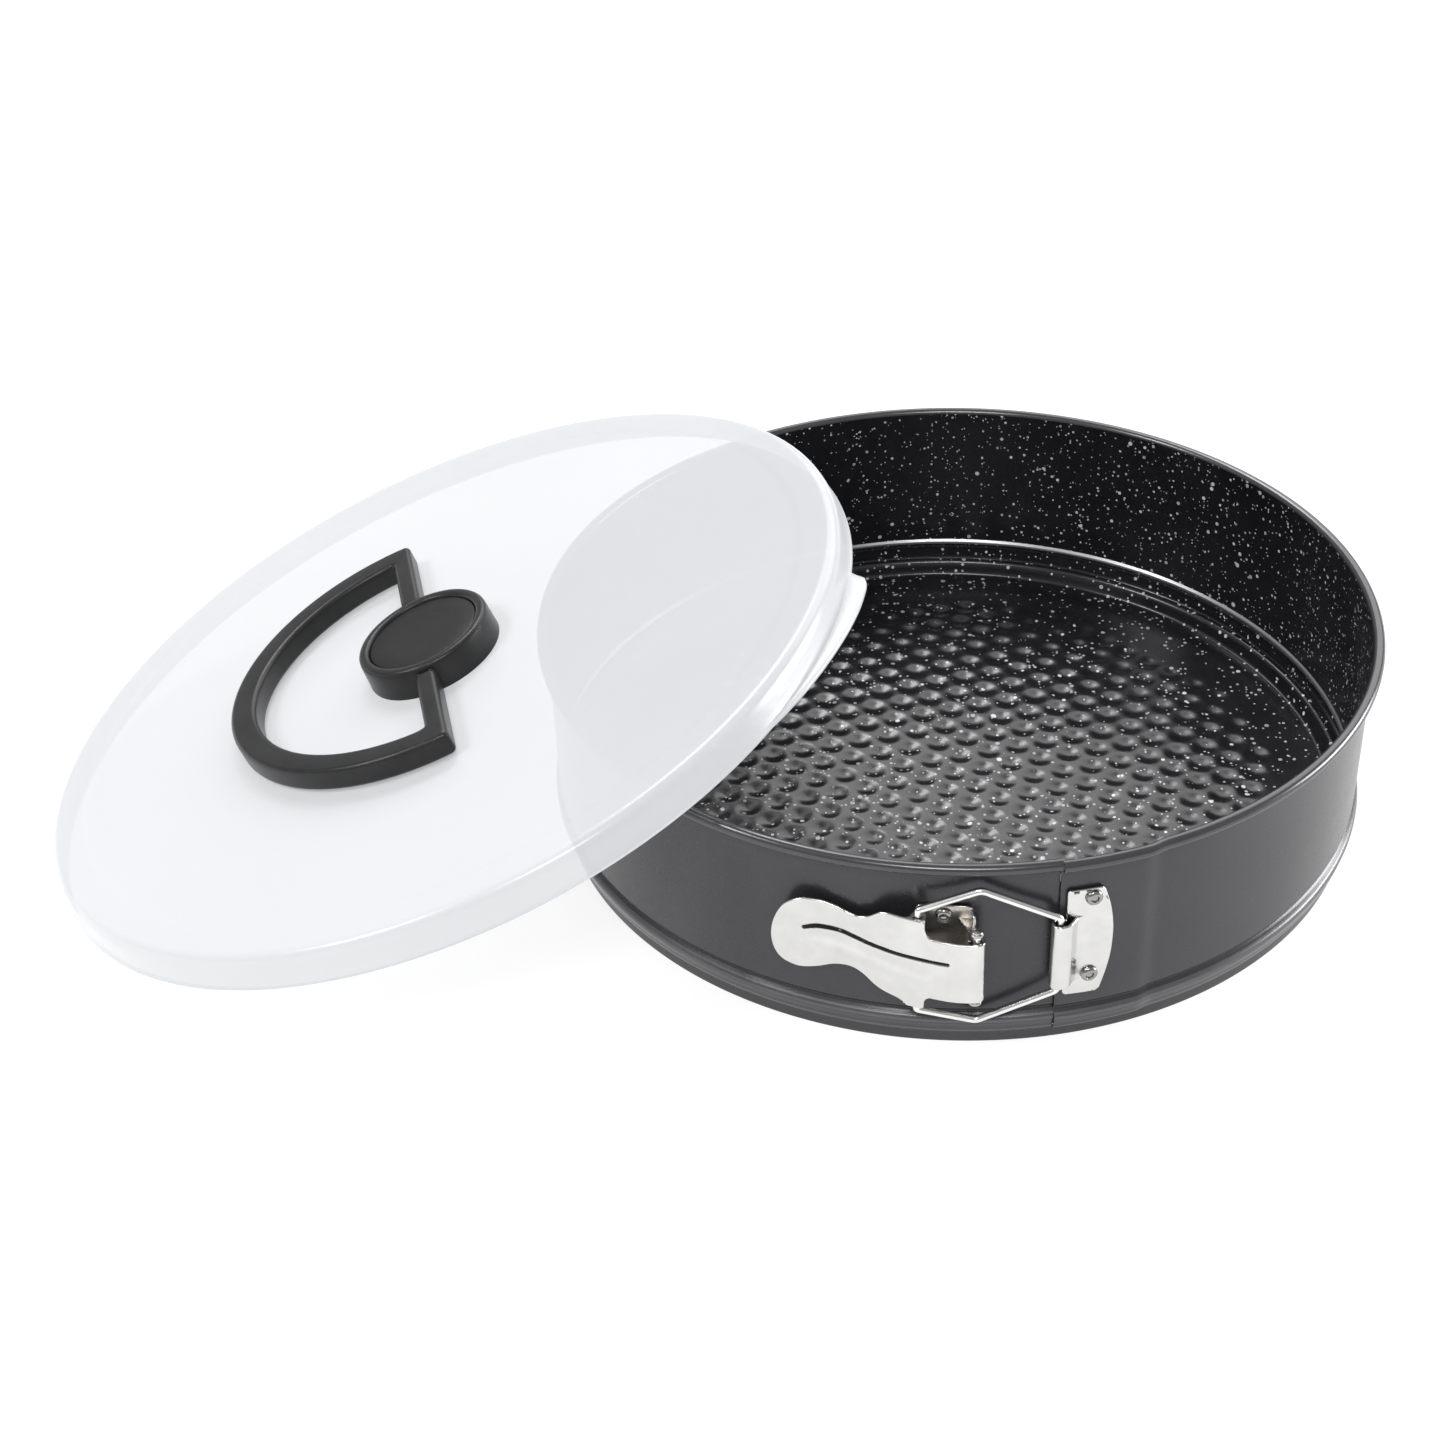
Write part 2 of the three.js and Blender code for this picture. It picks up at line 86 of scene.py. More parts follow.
def speck_layer(nt, coords, scale, keep, size, seed=0.0):
    """mask of scattered round specks: scale in cells per metre, keep = share of cells, size = radius as a share of the cell"""
    mp = node(nt, "ShaderNodeMapping")
    mp.inputs["Location"].default_value = (seed, seed * 1.7, seed * 0.6)
    nt.links.new(coords, mp.inputs["Vector"])
    v = node(nt, "ShaderNodeTexVoronoi", voronoi_dimensions="3D", feature="F1")
    v.inputs["Scale"].default_value = scale
    v.inputs["Randomness"].default_value = 0.95
    nt.links.new(mp.outputs["Vector"], v.inputs["Vector"])
    sep = node(nt, "ShaderNodeSeparateColor")
    nt.links.new(v.outputs["Color"], sep.inputs["Color"])
    pick = node(nt, "ShaderNodeMath", operation="LESS_THAN")
    pick.inputs[1].default_value = keep
    nt.links.new(sep.outputs["Red"], pick.inputs[0])
    # the radius varies from cell to cell
    rr = node(nt, "ShaderNodeMapRange")
    rr.inputs["To Min"].default_value = size * 0.45
    rr.inputs["To Max"].default_value = size
    nt.links.new(sep.outputs["Green"], rr.inputs["Value"])
    inside = node(nt, "ShaderNodeMath", operation="LESS_THAN")
    nt.links.new(v.outputs["Distance"], inside.inputs[0])
    nt.links.new(rr.outputs["Result"], inside.inputs[1])
    both = node(nt, "ShaderNodeMath", operation="MULTIPLY")
    nt.links.new(pick.outputs[0], both.inputs[0])
    nt.links.new(inside.outputs[0], both.inputs[1])
    tone = node(nt, "ShaderNodeMath", operation="MULTIPLY")
    nt.links.new(both.outputs[0], tone.inputs[0])
    tr = node(nt, "ShaderNodeMapRange")
    tr.inputs["To Min"].default_value = 0.45
    tr.inputs["To Max"].default_value = 1.0
    nt.links.new(sep.outputs["Blue"], tr.inputs["Value"])
    nt.links.new(tr.outputs["Result"], tone.inputs[1])
    return tone.outputs[0]


def add_bump(nt, bsdf, height, strength, distance):
    b = node(nt, "ShaderNodeBump")
    b.inputs["Strength"].default_value = strength
    b.inputs["Distance"].default_value = distance
    nt.links.new(height, b.inputs["Height"])
    nt.links.new(b.outputs["Normal"], bsdf.inputs["Normal"])
    return b


def coords(nt):
    return node(nt, "ShaderNodeTexCoord").outputs["Object"]


def noise(nt, vec, scale, detail=3.0, rough=0.55):
    n = node(nt, "ShaderNodeTexNoise")
    n.inputs["Scale"].default_value = scale
    n.inputs["Detail"].default_value = detail
    n.inputs["Roughness"].default_value = rough
    nt.links.new(vec, n.inputs["Vector"])
    return n.outputs["Fac"]


def stone_coat(name, base, rough, specks, bright=0.62, bump=0.12):
    """black non-stick coat with pale stone specks"""
    m, nt, b = new_mat(name)
    c = coords(nt)
    total = None
    for args in specks:
        s = speck_layer(nt, c, *args)
        if total is None:
            total = s
        else:
            mx = node(nt, "ShaderNodeMath", operation="MAXIMUM")
            nt.links.new(total, mx.inputs[0])
            nt.links.new(s, mx.inputs[1])
            total = mx.outputs[0]
    tint = ramp(nt, [(0.3, tuple(x * 0.82 for x in base) + (1,)), (0.7, tuple(x * 1.25 for x in base) + (1,))])
    nt.links.new(noise(nt, c, 90.0), tint.inputs["Fac"])
    mix = node(nt, "ShaderNodeMix", data_type="RGBA")
    nt.links.new(total, mix.inputs["Factor"])
    nt.links.new(tint.outputs["Color"], mix.inputs["A"])
    mix.inputs["B"].default_value = (bright, bright, bright * 1.02, 1)
    nt.links.new(mix.outputs["Result"], b.inputs["Base Color"])
    r = node(nt, "ShaderNodeMapRange")
    r.inputs["To Min"].default_value = rough * 0.85
    r.inputs["To Max"].default_value = rough * 1.2
    nt.links.new(noise(nt, c, 260.0, 4.0), r.inputs["Value"])
    nt.links.new(r.outputs["Result"], b.inputs["Roughness"])
    hsum = node(nt, "ShaderNodeMath", operation="MULTIPLY_ADD")
    nt.links.new(total, hsum.inputs[0])
    hsum.inputs[1].default_value = 0.25
    nt.links.new(noise(nt, c, 1400.0, 2.0), hsum.inputs[2])
    add_bump(nt, b, hsum.outputs[0], bump, 0.0003)
    b.inputs["Specular IOR Level"].default_value = 0.55
    return m


def satin_coat(name, base, rough, metal=0.35):
    """plain satin outside coat: fine orange peel, slight mottling"""
    m, nt, b = new_mat(name)
    c = coords(nt)
    tint = ramp(nt, [(0.25, tuple(x * 0.9 for x in base) + (1,)), (0.75, tuple(x * 1.12 for x in base) + (1,))])
    nt.links.new(noise(nt, c, 40.0, 5.0), tint.inputs["Fac"])
    nt.links.new(tint.outputs["Color"], b.inputs["Base Color"])
    r = node(nt, "ShaderNodeMapRange")
    r.inputs["To Min"].default_value = rough * 0.9
    r.inputs["To Max"].default_value = rough * 1.15
    nt.links.new(noise(nt, c, 180.0, 4.0), r.inputs["Value"])
    nt.links.new(r.outputs["Result"], b.inputs["Roughness"])
    add_bump(nt, b, noise(nt, c, 1500.0, 2.0), 0.02, 0.0001)
    b.inputs["Metallic"].default_value = metal
    b.inputs["Specular IOR Level"].default_value = 0.72
    return m


def plated(name, base, rough, scratch=0.06, axis="Z", painted_groove_shade=False):
    """nickel plate: faint rolling lines along one direction, soft polish, slight cloud"""
    m, nt, b = new_mat(name)
    c = coords(nt)
    mp = node(nt, "ShaderNodeMapping")
    s = {"X": (60, 2600, 2600), "Y": (2600, 60, 2600), "Z": (2600, 2600, 60)}[axis]
    mp.inputs["Scale"].default_value = s
    nt.links.new(c, mp.inputs["Vector"])
    lines = noise(nt, mp.outputs["Vector"], 1.0, 4.0, 0.6)
    cloud = noise(nt, c, 160.0, 4.0)
    tint = ramp(nt, [(0.3, tuple(x * 0.93 for x in base) + (1,)), (0.72, tuple(min(1, x * 1.03) for x in base) + (1,))])
    nt.links.new(cloud, tint.inputs["Fac"])
    if painted_groove_shade:
        # painted shade: the bottom of the pressed groove is painted dark
        at = node(nt, "ShaderNodeAttribute", attribute_name="shade")
        rp = ramp(nt, [(0.12, 0.0), (0.45, 1.0)])
        nt.links.new(at.outputs["Fac"], rp.inputs["Fac"])
        mx = node(nt, "ShaderNodeMix", data_type="RGBA")
        nt.links.new(rp.outputs["Color"], mx.inputs["Factor"])
        nt.links.new(tint.outputs["Color"], mx.inputs["A"])
        mx.inputs["B"].default_value = (0.045, 0.045, 0.045, 1)
        nt.links.new(mx.outputs["Result"], b.inputs["Base Color"])
    else:
        nt.links.new(tint.outputs["Color"], b.inputs["Base Color"])
    r = node(nt, "ShaderNodeMapRange")
    r.inputs["To Min"].default_value = rough * 0.8
    r.inputs["To Max"].default_value = rough * 1.35
    nt.links.new(cloud, r.inputs["Value"])
    nt.links.new(r.outputs["Result"], b.inputs["Roughness"])
    b.inputs["Metallic"].default_value = 1.0
    add_bump(nt, b, lines, scratch, 0.0001)
    return m


def black_plastic(name, base, rough, grain=0.12):
    """moulded plastic: fine spark-eroded grain, slight tone change"""
    m, nt, b = new_mat(name)
    c = coords(nt)
    tint = ramp(nt, [(0.3, tuple(x * 0.85 for x in base) + (1,)), (0.7, tuple(x * 1.25 for x in base) + (1,))])
    nt.links.new(noise(nt, c, 120.0, 4.0), tint.inputs["Fac"])
    nt.links.new(tint.outputs["Color"], b.inputs["Base Color"])
    r = node(nt, "ShaderNodeMapRange")
    r.inputs["To Min"].default_value = rough * 0.85
    r.inputs["To Max"].default_value = rough * 1.15
    nt.links.new(noise(nt, c, 700.0, 3.0), r.inputs["Value"])
    nt.links.new(r.outputs["Result"], b.inputs["Roughness"])
    b.inputs["Specular IOR Level"].default_value = 0.32
    v = node(nt, "ShaderNodeTexVoronoi", voronoi_dimensions="3D", feature="F1")
    v.inputs["Scale"].default_value = 2600.0
    nt.links.new(c, v.inputs["Vector"])
    add_bump(nt, b, v.outputs["Distance"], grain, 0.0002)
    return m


def milky_plastic(name, tone, alpha, rough, painted_glow):
    m, nt, b = new_mat(name)
    c = coords(nt)
    tint = ramp(nt, [(0.3, tuple(x * 0.985 for x in tone) + (1,)), (0.7, tuple(min(1, x * 1.01) for x in tone) + (1,))])
    nt.links.new(noise(nt, c, 14.0, 3.0), tint.inputs["Fac"])
    nt.links.new(tint.outputs["Color"], b.inputs["Base Color"])
    r = node(nt, "ShaderNodeMapRange")
    r.inputs["To Min"].default_value = rough * 0.8
    r.inputs["To Max"].default_value = rough * 1.25
    nt.links.new(noise(nt, c, 60.0, 4.0), r.inputs["Value"])
    nt.links.new(r.outputs["Result"], b.inputs["Roughness"])
    b.inputs["Alpha"].default_value = alpha
    # painted glow: emission standing in for light that comes through the milky wall from below
    b.inputs["Emission Color"].default_value = (0.96, 0.98, 1.0, 1)
    b.inputs["Emission Strength"].default_value = painted_glow
    b.inputs["IOR"].default_value = 1.49
    add_bump(nt, b, noise(nt, c, 22.0, 2.0, 0.4), 0.035, 0.002)
    return m


INSIDE = stone_coat("inside_coat", (0.009, 0.009, 0.011), 0.18,
                    [(420.0, 0.12, 0.33, 0.0), (760.0, 0.13, 0.40, 3.1), (240.0, 0.05, 0.22, 7.7), (1200.0, 0.07, 0.42, 2.2)], bright=0.70)
FLOOR_COAT = stone_coat("base_coat", (0.010, 0.010, 0.012), 0.21,
                        [(420.0, 0.17, 0.34, 1.3), (760.0, 0.14, 0.42, 5.2), (240.0, 0.08, 0.24, 9.4)], bright=0.74)
OUTSIDE = satin_coat("outside_coat", (0.036, 0.035, 0.039), 0.27)
UNDER = satin_coat("under_coat", (0.04, 0.04, 0.043), 0.42)
# painted highlight: a lighter, more metallic copy of the outside coat on the rolled rim
RIM_PAINTED_HIGHLIGHT = satin_coat("rim_painted_highlight", (0.075, 0.075, 0.078), 0.22, 0.6)
# painted highlight: lighter, more metallic copies of the coat on the ridge top and on the lip's upper face, so these
# folds show bright lines
RIDGE_PAINTED_HIGHLIGHT = satin_coat("ridge_painted_highlight", (0.12, 0.12, 0.125), 0.33, 0.75)
LIP_PAINTED_HIGHLIGHT = satin_coat("lip_painted_highlight", (0.36, 0.36, 0.37), 0.30, 0.85)
NICKEL = plated("nickel_plate", (0.70, 0.695, 0.68), 0.2)
# painted shade along the lever's pressed groove, driven by the 'shade' attribute
NICKEL_LEVER = plated("nickel_lever", (0.70, 0.695, 0.68), 0.2, painted_groove_shade=True)
# painted shade: a darker copy of the nickel for the bracket foot and ears, which lie behind the lever
NICKEL_PAINTED_SHADE = plated("nickel_painted_shade", (0.46, 0.44, 0.41), 0.24)
WIRE = plated("wire_plate", (0.86, 0.86, 0.85), 0.20, 0.04, "X")
RIVET = plated("rivet_steel", (0.34, 0.335, 0.325), 0.18)
STEEL = plated("drawn_steel", (0.5, 0.5, 0.5), 0.35, 0.08, "X")
BLACK = black_plastic("black_moulding", (0.018, 0.018, 0.0185), 0.32, 0.10)
BLACK_TOP = black_plastic("black_cap", (0.0095, 0.0095, 0.010), 0.44, 0.14)
# the lid's emission on both surfaces is a painted glow
MILKY = milky_plastic("lid_milky", (0.430, 0.436, 0.448), 0.83, 0.22, 0.27)
MILKY_IN = milky_plastic("lid_milky_inner", (0.43, 0.436, 0.448), 0.14, 0.28, 0.16)


# ------------------------------------------------------------------ mesh helpers
def polar(deg, r):
    return (r * math.sin(rad(deg)), -r * math.cos(rad(deg)))


def mesh_obj(name, verts, faces, mats, face_mats=None, smooth=True, sharp=None, values=None):
    me = bpy.data.meshes.new(name)
    me.from_pydata([tuple(float(x) * MM for x in v) for v in verts], [], faces)
    if values is not None:
        at = me.attributes.new("shade", "FLOAT", "POINT")
        at.data.foreach_set("value", np.array(values[:len(verts)], dtype=np.float32))
    for m in mats:
        me.materials.append(m)
    if face_mats is not None:
        me.polygons.foreach_set("material_index", np.array(face_mats, dtype=np.int32))
    bm = bmesh.new()
    bm.from_mesh(me)
    bmesh.ops.remove_doubles(bm, verts=bm.verts, dist=1e-7)
    bmesh.ops.recalc_face_normals(bm, faces=bm.faces)
    bm.to_mesh(me)
    bm.free()
    me.polygons.foreach_set("use_smooth", np.full(len(me.polygons), smooth))
    if sharp is not None:
        me.set_sharp_from_angle(angle=rad(sharp))
    me.update()
    o = bpy.data.objects.new(name, me)
    col.objects.link(o)
    return o


def catmull(pts, per=6, closed=False):
    p = [np.array(q, float) for q in pts]
    n = len(p)
    out = []
    rng = n if closed else n - 1
    for i in range(rng):
        a = p[(i - 1) % n] if closed or i > 0 else 2 * p[0] - p[1]
        b, c = p[i], p[(i + 1) % n]
        d = p[(i + 2) % n] if closed or i + 2 < n else 2 * p[-1] - p[-2]
        for k in range(per):
            t = k / per
            out.append(0.5 * ((2 * b) + (-a + c) * t + (2 * a - 5 * b + 4 * c - d) * t * t + (-a + 3 * b - 3 * c + d) * t ** 3))
    if not closed:
        out.append(p[-1])
    return out


def offset_line(pts, d):
    p = np.array(pts, float)
    t = np.gradient(p, axis=0)
    t /= np.linalg.norm(t, axis=1)[:, None]
    n = np.stack([-t[:, 1], t[:, 0]], 1)
    return p + n * d


def ring_grid(name, loops, faces_closed_profile, mats, mat_of, caps=True, sharp=None):
    """loops: list over angle of lists of (x, y, z); quads between them; mat_of(j) gives the slot of profile edge j"""
    nA, nP = len(loops), len(loops[0])
    verts = [v for lp in loops for v in lp]
    faces, fm = [], []
    for i in range(nA - 1):
        for j in range(nP):
            k = (j + 1) % nP
            faces.append((i * nP + j, i * nP + k, (i + 1) * nP + k, (i + 1) * nP + j))
            fm.append(mat_of(j))
    if caps:
        half = nP // 2
        for i in (0, nA - 1):
            # the profile is a strip: left side j, right side nP-1-j
            for j in range(half - 1):
                a, b, c, d = j, j + 1, nP - 2 - j, nP - 1 - j
                faces.append(tuple(i * nP + q for q in (a, b, c, d)))
                fm.append(mat_of(j))
    return mesh_obj(name, verts, faces, mats, fm, True, sharp)


def revolve(name, profile, seg, mats, matrix=None, mat_of=None, sharp=35, closed=False):
    """profile (r, z); on the axis at its ends, or closed"""
    m = matrix or Matrix.Identity(4)
    verts, faces, fm, rows = [], [], [], []
    pr = list(profile)
    for (r, z) in pr:
        if r < 1e-6:
            rows.append([len(verts)] * seg)
            verts.append((0, 0, z))
        else:
            rows.append(list(range(len(verts), len(verts) + seg)))
            for k in range(seg):
                a = 2 * math.pi * k / seg
                verts.append((r * math.cos(a), r * math.sin(a), z))
    n = len(pr)
    for i in range(n if closed else n - 1):
        A, B = rows[i], rows[(i + 1) % n]
        for k in range(seg):
            q = (k + 1) % seg
            f = []
            for v in (A[k], A[q], B[q], B[k]):
                if v not in f:
                    f.append(v)
            if len(f) > 2:
                faces.append(tuple(f))
                fm.append(mat_of(i) if mat_of else 0)
    out = []
    for v in verts:
        p = m @ Vector(v)
        out.append((p.x, p.y, p.z))
    return mesh_obj(name, out, faces, mats, fm, True, sharp)


def tube(name, pts, radius, sides, mats, round_ends=True):
    p = [Vector(q) for q in pts]
    n = len(p)
    tang = [(p[min(i + 1, n - 1)] - p[max(i - 1, 0)]).normalized() for i in range(n)]
    up = Vector((0, 0, 1)) if abs(tang[0].z) < 0.9 else Vector((1, 0, 0))
    nrm = (up - tang[0] * up.dot(tang[0])).normalized()
    rings = []
    for i in range(n):
        nrm = (nrm - tang[i] * nrm.dot(tang[i])).normalized()
        bi = tang[i].cross(nrm)
        rings.append((p[i], nrm.copy(), bi, radius))
    if round_ends:
        t0, t1 = tang[0], tang[-1]
        head, tail = [], []
        for k in range(1, 4):
            a = rad(90 * k / 4)
            head.insert(0, (p[0] - t0 * radius * (1 - math.cos(rad(90)) ) * 0 - t0 * radius * 0.5 * math.sin(a), rings[0][1], rings[0][2], radius * math.cos(a)))
            tail.append((p[-1] + t1 * radius * 0.5 * math.sin(a), rings[-1][1], rings[-1][2], radius * math.cos(a)))
        rings = head + rings + tail
    verts, faces = [], []
    for (c, a, b, r) in rings:
        for k in range(sides):
            t = 2 * math.pi * k / sides
            verts.append(tuple(c + (a * math.cos(t) + b * math.sin(t)) * r))
    for i in range(len(rings) - 1):
        for k in range(sides):
            q = (k + 1) % sides
            faces.append((i * sides + k, i * sides + q, (i + 1) * sides + q, (i + 1) * sides + k))
    faces.append(tuple(range(sides)))
    faces.append(tuple(range((len(rings) - 1) * sides, len(rings) * sides)))
    return mesh_obj(name, verts, faces, mats, None, True, 60)


def densify(poly, step):
    out = []
    n = len(poly)
    for i in range(n):
        a, b = np.array(poly[i], float), np.array(poly[(i + 1) % n], float)
        k = max(1, int(np.linalg.norm(b - a) / step))
        for j in range(k):
            out.append(a + (b - a) * j / k)
    return out


def round_poly(poly, radii, seg=5):
    """closed polygon with rounded corners; radii one number or one per corner"""
    n = len(poly)
    if not isinstance(radii, (list, tuple)):
        radii = [radii] * n
    out = []
    for i in range(n):
        p0, p1, p2 = (np.array(poly[(i + d) % n], float) for d in (-1, 0, 1))
        a, b = p0 - p1, p2 - p1
        la, lb = np.linalg.norm(a), np.linalg.norm(b)
        a, b = a / la, b / lb
        ang = math.acos(max(-1, min(1, float(a @ b))))
        r = radii[i]
        if r <= 0 or ang > rad(176):
            out.append(p1)
            continue
        d = min(r / math.tan(ang / 2), 0.48 * la, 0.48 * lb)
        q0, q2 = p1 + a * d, p1 + b * d
        for k in range(seg + 1):
            t = k / seg
            out.append((1 - t) ** 2 * q0 + 2 * t * (1 - t) * p1 + t * t * q2)
    return out


def poly_area(poly):
    p = np.array(poly)
    x, y = p[:, 0], p[:, 1]
    return 0.5 * float(np.sum(x * np.roll(y, -1) - np.roll(x, -1) * y))


def inset(poly, d):
    """offset a CCW polygon inwards"""
    p = np.array(poly, float)
    e1 = p - np.roll(p, 1, 0)
    e2 = np.roll(p, -1, 0) - p
    e1 /= np.maximum(np.linalg.norm(e1, axis=1), 1e-9)[:, None]
    e2 /= np.maximum(np.linalg.norm(e2, axis=1), 1e-9)[:, None]
    n1 = np.stack([-e1[:, 1], e1[:, 0]], 1)
    n2 = np.stack([-e2[:, 1], e2[:, 0]], 1)
    m = n1 + n2
    m /= np.maximum(np.linalg.norm(m, axis=1), 1e-9)[:, None]
    k = 1.0 / np.maximum(0.45, (m * n1).sum(1))
    return p + m * (d * k)[:, None]


def inside_poly(pts, poly):
    pts, poly = np.asarray(pts, float), np.asarray(poly, float)
    x, y = pts[:, 0], pts[:, 1]
    ins = np.zeros(len(pts), bool)
    j = len(poly) - 1
    for i in range(len(poly)):
        xi, yi, xj, yj = poly[i][0], poly[i][1], poly[j][0], poly[j][1]
        c = ((yi > y) != (yj > y)) & (x < (xj - xi) * (y - yi) / ((yj - yi) or 1e-12) + xi)
        ins ^= c
        j = i
    return ins


def sheet_piece(name, outline, half_t, edge, mapping, mats, holes=(), grid=1.0, disp=None, seg=4, step=0.7, values=None):
    """a plate with rounded edges: outline and holes in (u, w), half thickness, edge radius (at most half_t),
    mapping (u, w, off) -> (x, y, z); disp(u, w) moves both faces along the normal"""
    out = densify(outline, step)
    if poly_area(out) < 0:
        out = out[::-1]
    loops = [out]
    for h in holes:
        hd = densify(h, step * 0.6)
        if poly_area(hd) > 0:
            hd = hd[::-1]
        loops.append(hd)
    verts, faces = [], []
    disp = disp or (lambda u, w: 0.0)

    def put(u, w, off):
        verts.append(mapping(u, w, off + disp(u, w)))
        return len(verts) - 1

    caps = {1: [], -1: []}
    for lp in loops:
        rings = []
        for k in range(seg + 1):
            a = rad(90 * k / seg)
            rings.append((inset(lp, edge * (1 - math.cos(a))), half_t - edge + edge * math.sin(a)))
        ids = {}
        for s in (1, -1):
            for k, (pts, off) in enumerate(rings):
                if s == -1 and k == 0 and half_t - edge < 1e-6:
                    ids[(s, k)] = ids[(1, 0)]
                    continue
                ids[(s, k)] = [put(q[0], q[1], s * off) for q in pts]
        n = len(lp)
        for s in (1, -1):
            for k in range(seg):
                A, B = ids[(s, k)], ids[(s, k + 1)]
                for i in range(n):
                    j = (i + 1) % n
                    faces.append((A[i], A[j], B[j], B[i]))
            caps[s].append((rings[seg][0], ids[(s, seg)]))
        if half_t - edge >= 1e-6:
            A, B = ids[(1, 0)], ids[(-1, 0)]
            for i in range(n):
                j = (i + 1) % n
                faces.append((A[i], A[j], B[j], B[i]))
    # caps
    outer = caps[1][0][0]
    lo, hi = outer.min(0), outer.max(0)
    G = np.zeros((0, 2))
    if grid > 0:
        gx = np.arange(lo[0] + grid * 0.5, hi[0], grid)
        gy = np.arange(lo[1] + grid * 0.5, hi[1], grid)
        G = np.array([(x, y) for x in gx for y in gy])
    if len(G):
        ok = inside_poly(G, inset(outer, grid * 0.35))
        for (pts, _) in caps[1][1:]:
            ok &= ~inside_poly(G, inset(pts, grid * 0.35))
        G = G[ok]
    vc, ed = [], []
    back = []
    for li, (pts, _) in enumerate(caps[1]):
        b0 = len(vc)
        n = len(pts)
        for i in range(n):
            vc.append(Vector((float(pts[i][0]), float(pts[i][1]))))
            back.append((li, i))
            ed.append((b0 + i, b0 + (i + 1) % n))
    for g in G:
        vc.append(Vector((float(g[0]), float(g[1]))))
        back.append(None)
    res = delaunay_2d_cdt(vc, ed, [], 0, 1e-7)
    rv, rf, orig = res[0], res[2], res[3]
    cent = np.array([[sum(rv[i][0] for i in f) / len(f), sum(rv[i][1] for i in f) / len(f)] for f in rf])
    keep = inside_poly(cent, outer)
    for (pts, _) in caps[1][1:]:
        keep &= ~inside_poly(cent, pts)
    for s in (1, -1):
        idx = {}
        for vi, o in enumerate(orig):
            b = back[o[0]] if o else None
            if b is not None:
                idx[vi] = caps[s][b[0]][1][b[1]]
            else:
                idx[vi] = put(rv[vi][0], rv[vi][1], s * half_t)
        for f, k in zip(rf, keep):
            if k:
                faces.append(tuple(idx[i] for i in f))
    return mesh_obj(name, verts, faces, mats, None, True, 48, values)


class Path:
    """a smooth line in the horizontal plane, by arc length"""
    def __init__(self, pts, per=8):
        p = np.array(catmull(pts, per))
        d = np.r_[0, np.cumsum(np.linalg.norm(np.diff(p, axis=0), axis=1))]
        self.p, self.d = p, d
        t = np.gradient(p, axis=0)
        self.t = t / np.linalg.norm(t, axis=1)[:, None]

    def at(self, s):
        x = np.interp(s, self.d, self.p[:, 0])
        y = np.interp(s, self.d, self.p[:, 1])
        tx = np.interp(s, self.d, self.t[:, 0])
        ty = np.interp(s, self.d, self.t[:, 1])
        l = math.hypot(tx, ty)
        e = 0.0
        if s > self.d[-1]:
            e = s - self.d[-1]
        elif s < 0:
            e = s
        return x + tx / l * e, y + ty / l * e, tx / l, ty / l


# ------------------------------------------------------------------ the pan's hoop
BEAD_C, BEAD_Z, HEM_R, WALL_R = 131.2, 66.1, 128.3, 129.6
LAP, JOG = 9.35, 0.95
SHEET = 0.5

lower = catmull([(HEM_R, 0.9), (HEM_R, 2.2), (HEM_R, 3.3), (HEM_R + 0.12, 4.1), (128.95, 4.75), (129.6, 5.35), (130.02, 6.2), (130.25, 7.3),
                 (130.52, 8.3), (130.78, 9.2), (130.76, 10.0), (130.42, 10.65), (129.85, 11.1), (129.25, 11.6), (128.78, 12.15), (128.66, 12.62), (128.8, 13.05), (129.1, 13.38), (129.4, 13.7), (129.57, 14.05), (WALL_R, 14.8)], 5)
hem_fold = [(HEM_R - 0.05, 0.25), (HEM_R, 0.5)]
wall_up = [(WALL_R, 14.8 + (64.0 - 14.8) * k / 10) for k in range(1, 10)]
roll = [(BEAD_C + 1.52 * math.cos(rad(a)), BEAD_Z + 1.52 * math.sin(rad(a))) for a in np.linspace(183, -96, 26)]
center = hem_fold + [tuple(q) for q in lower] + wall_up + roll
center = np.array(center, float)
outer_side = offset_line(center, -SHEET / 2)
inner_side = offset_line(center, SHEET / 2)
profile = np.vstack([outer_side, inner_side[::-1]])
nC = len(center)
i_roll = nC - len(roll)
i_top = i_roll + 9


def prof_slot(j):
    """0 outside, 1 inside, 2 rim, 3 top of the ridge, 4 the lip's upper face; slots 2 to 4 carry painted highlights"""
    if j < nC:
        if j >= i_roll:
            return 2
        return 3 if 9.3 < center[j][1] < 11.1 else 0
    k = 2 * nC - 1 - j
    if k >= i_roll + 2:
        return 2
    if 12.5 < center[k][1] < 13.75:
        return 4
    return 1 if k > 1 else 0


def smooth01(x):
    x = min(1.0, max(0.0, x))
    return x * x * (3 - 2 * x)


def jog(a, z):
    w = smooth01((z - 4.6) / 1.1)
    s = 1.0 - smooth01((a - 20.2) / 2.6)
    return JOG * w * s


def band_loop(a, prof, jogged):
    out = []
    for (r, z) in prof:
        rr = r + (jog(a, z) if jogged else 0.0)
        x, y = polar(a, rr)
        out.append((x, y, z))
    return out


def band(name, a0, a1, jogged, step=0.75, prof=profile, slots=prof_slot, caps=True):
    n = max(2, int(round(abs(a1 - a0) / step)))
    return ring_grid(name, [band_loop(a0 + (a1 - a0) * i / n, prof, jogged) for i in range(n + 1)], True,
                     [OUTSIDE, INSIDE, RIM_PAINTED_HIGHLIGHT, RIDGE_PAINTED_HIGHLIGHT, LIP_PAINTED_HIGHLIGHT], slots, caps, 50)


SPLIT = 150.0
left_front = band("hoop_left", -SPLIT, LAP - 0.03, False)
right_front = band("hoop_right", LAP, SPLIT, True)
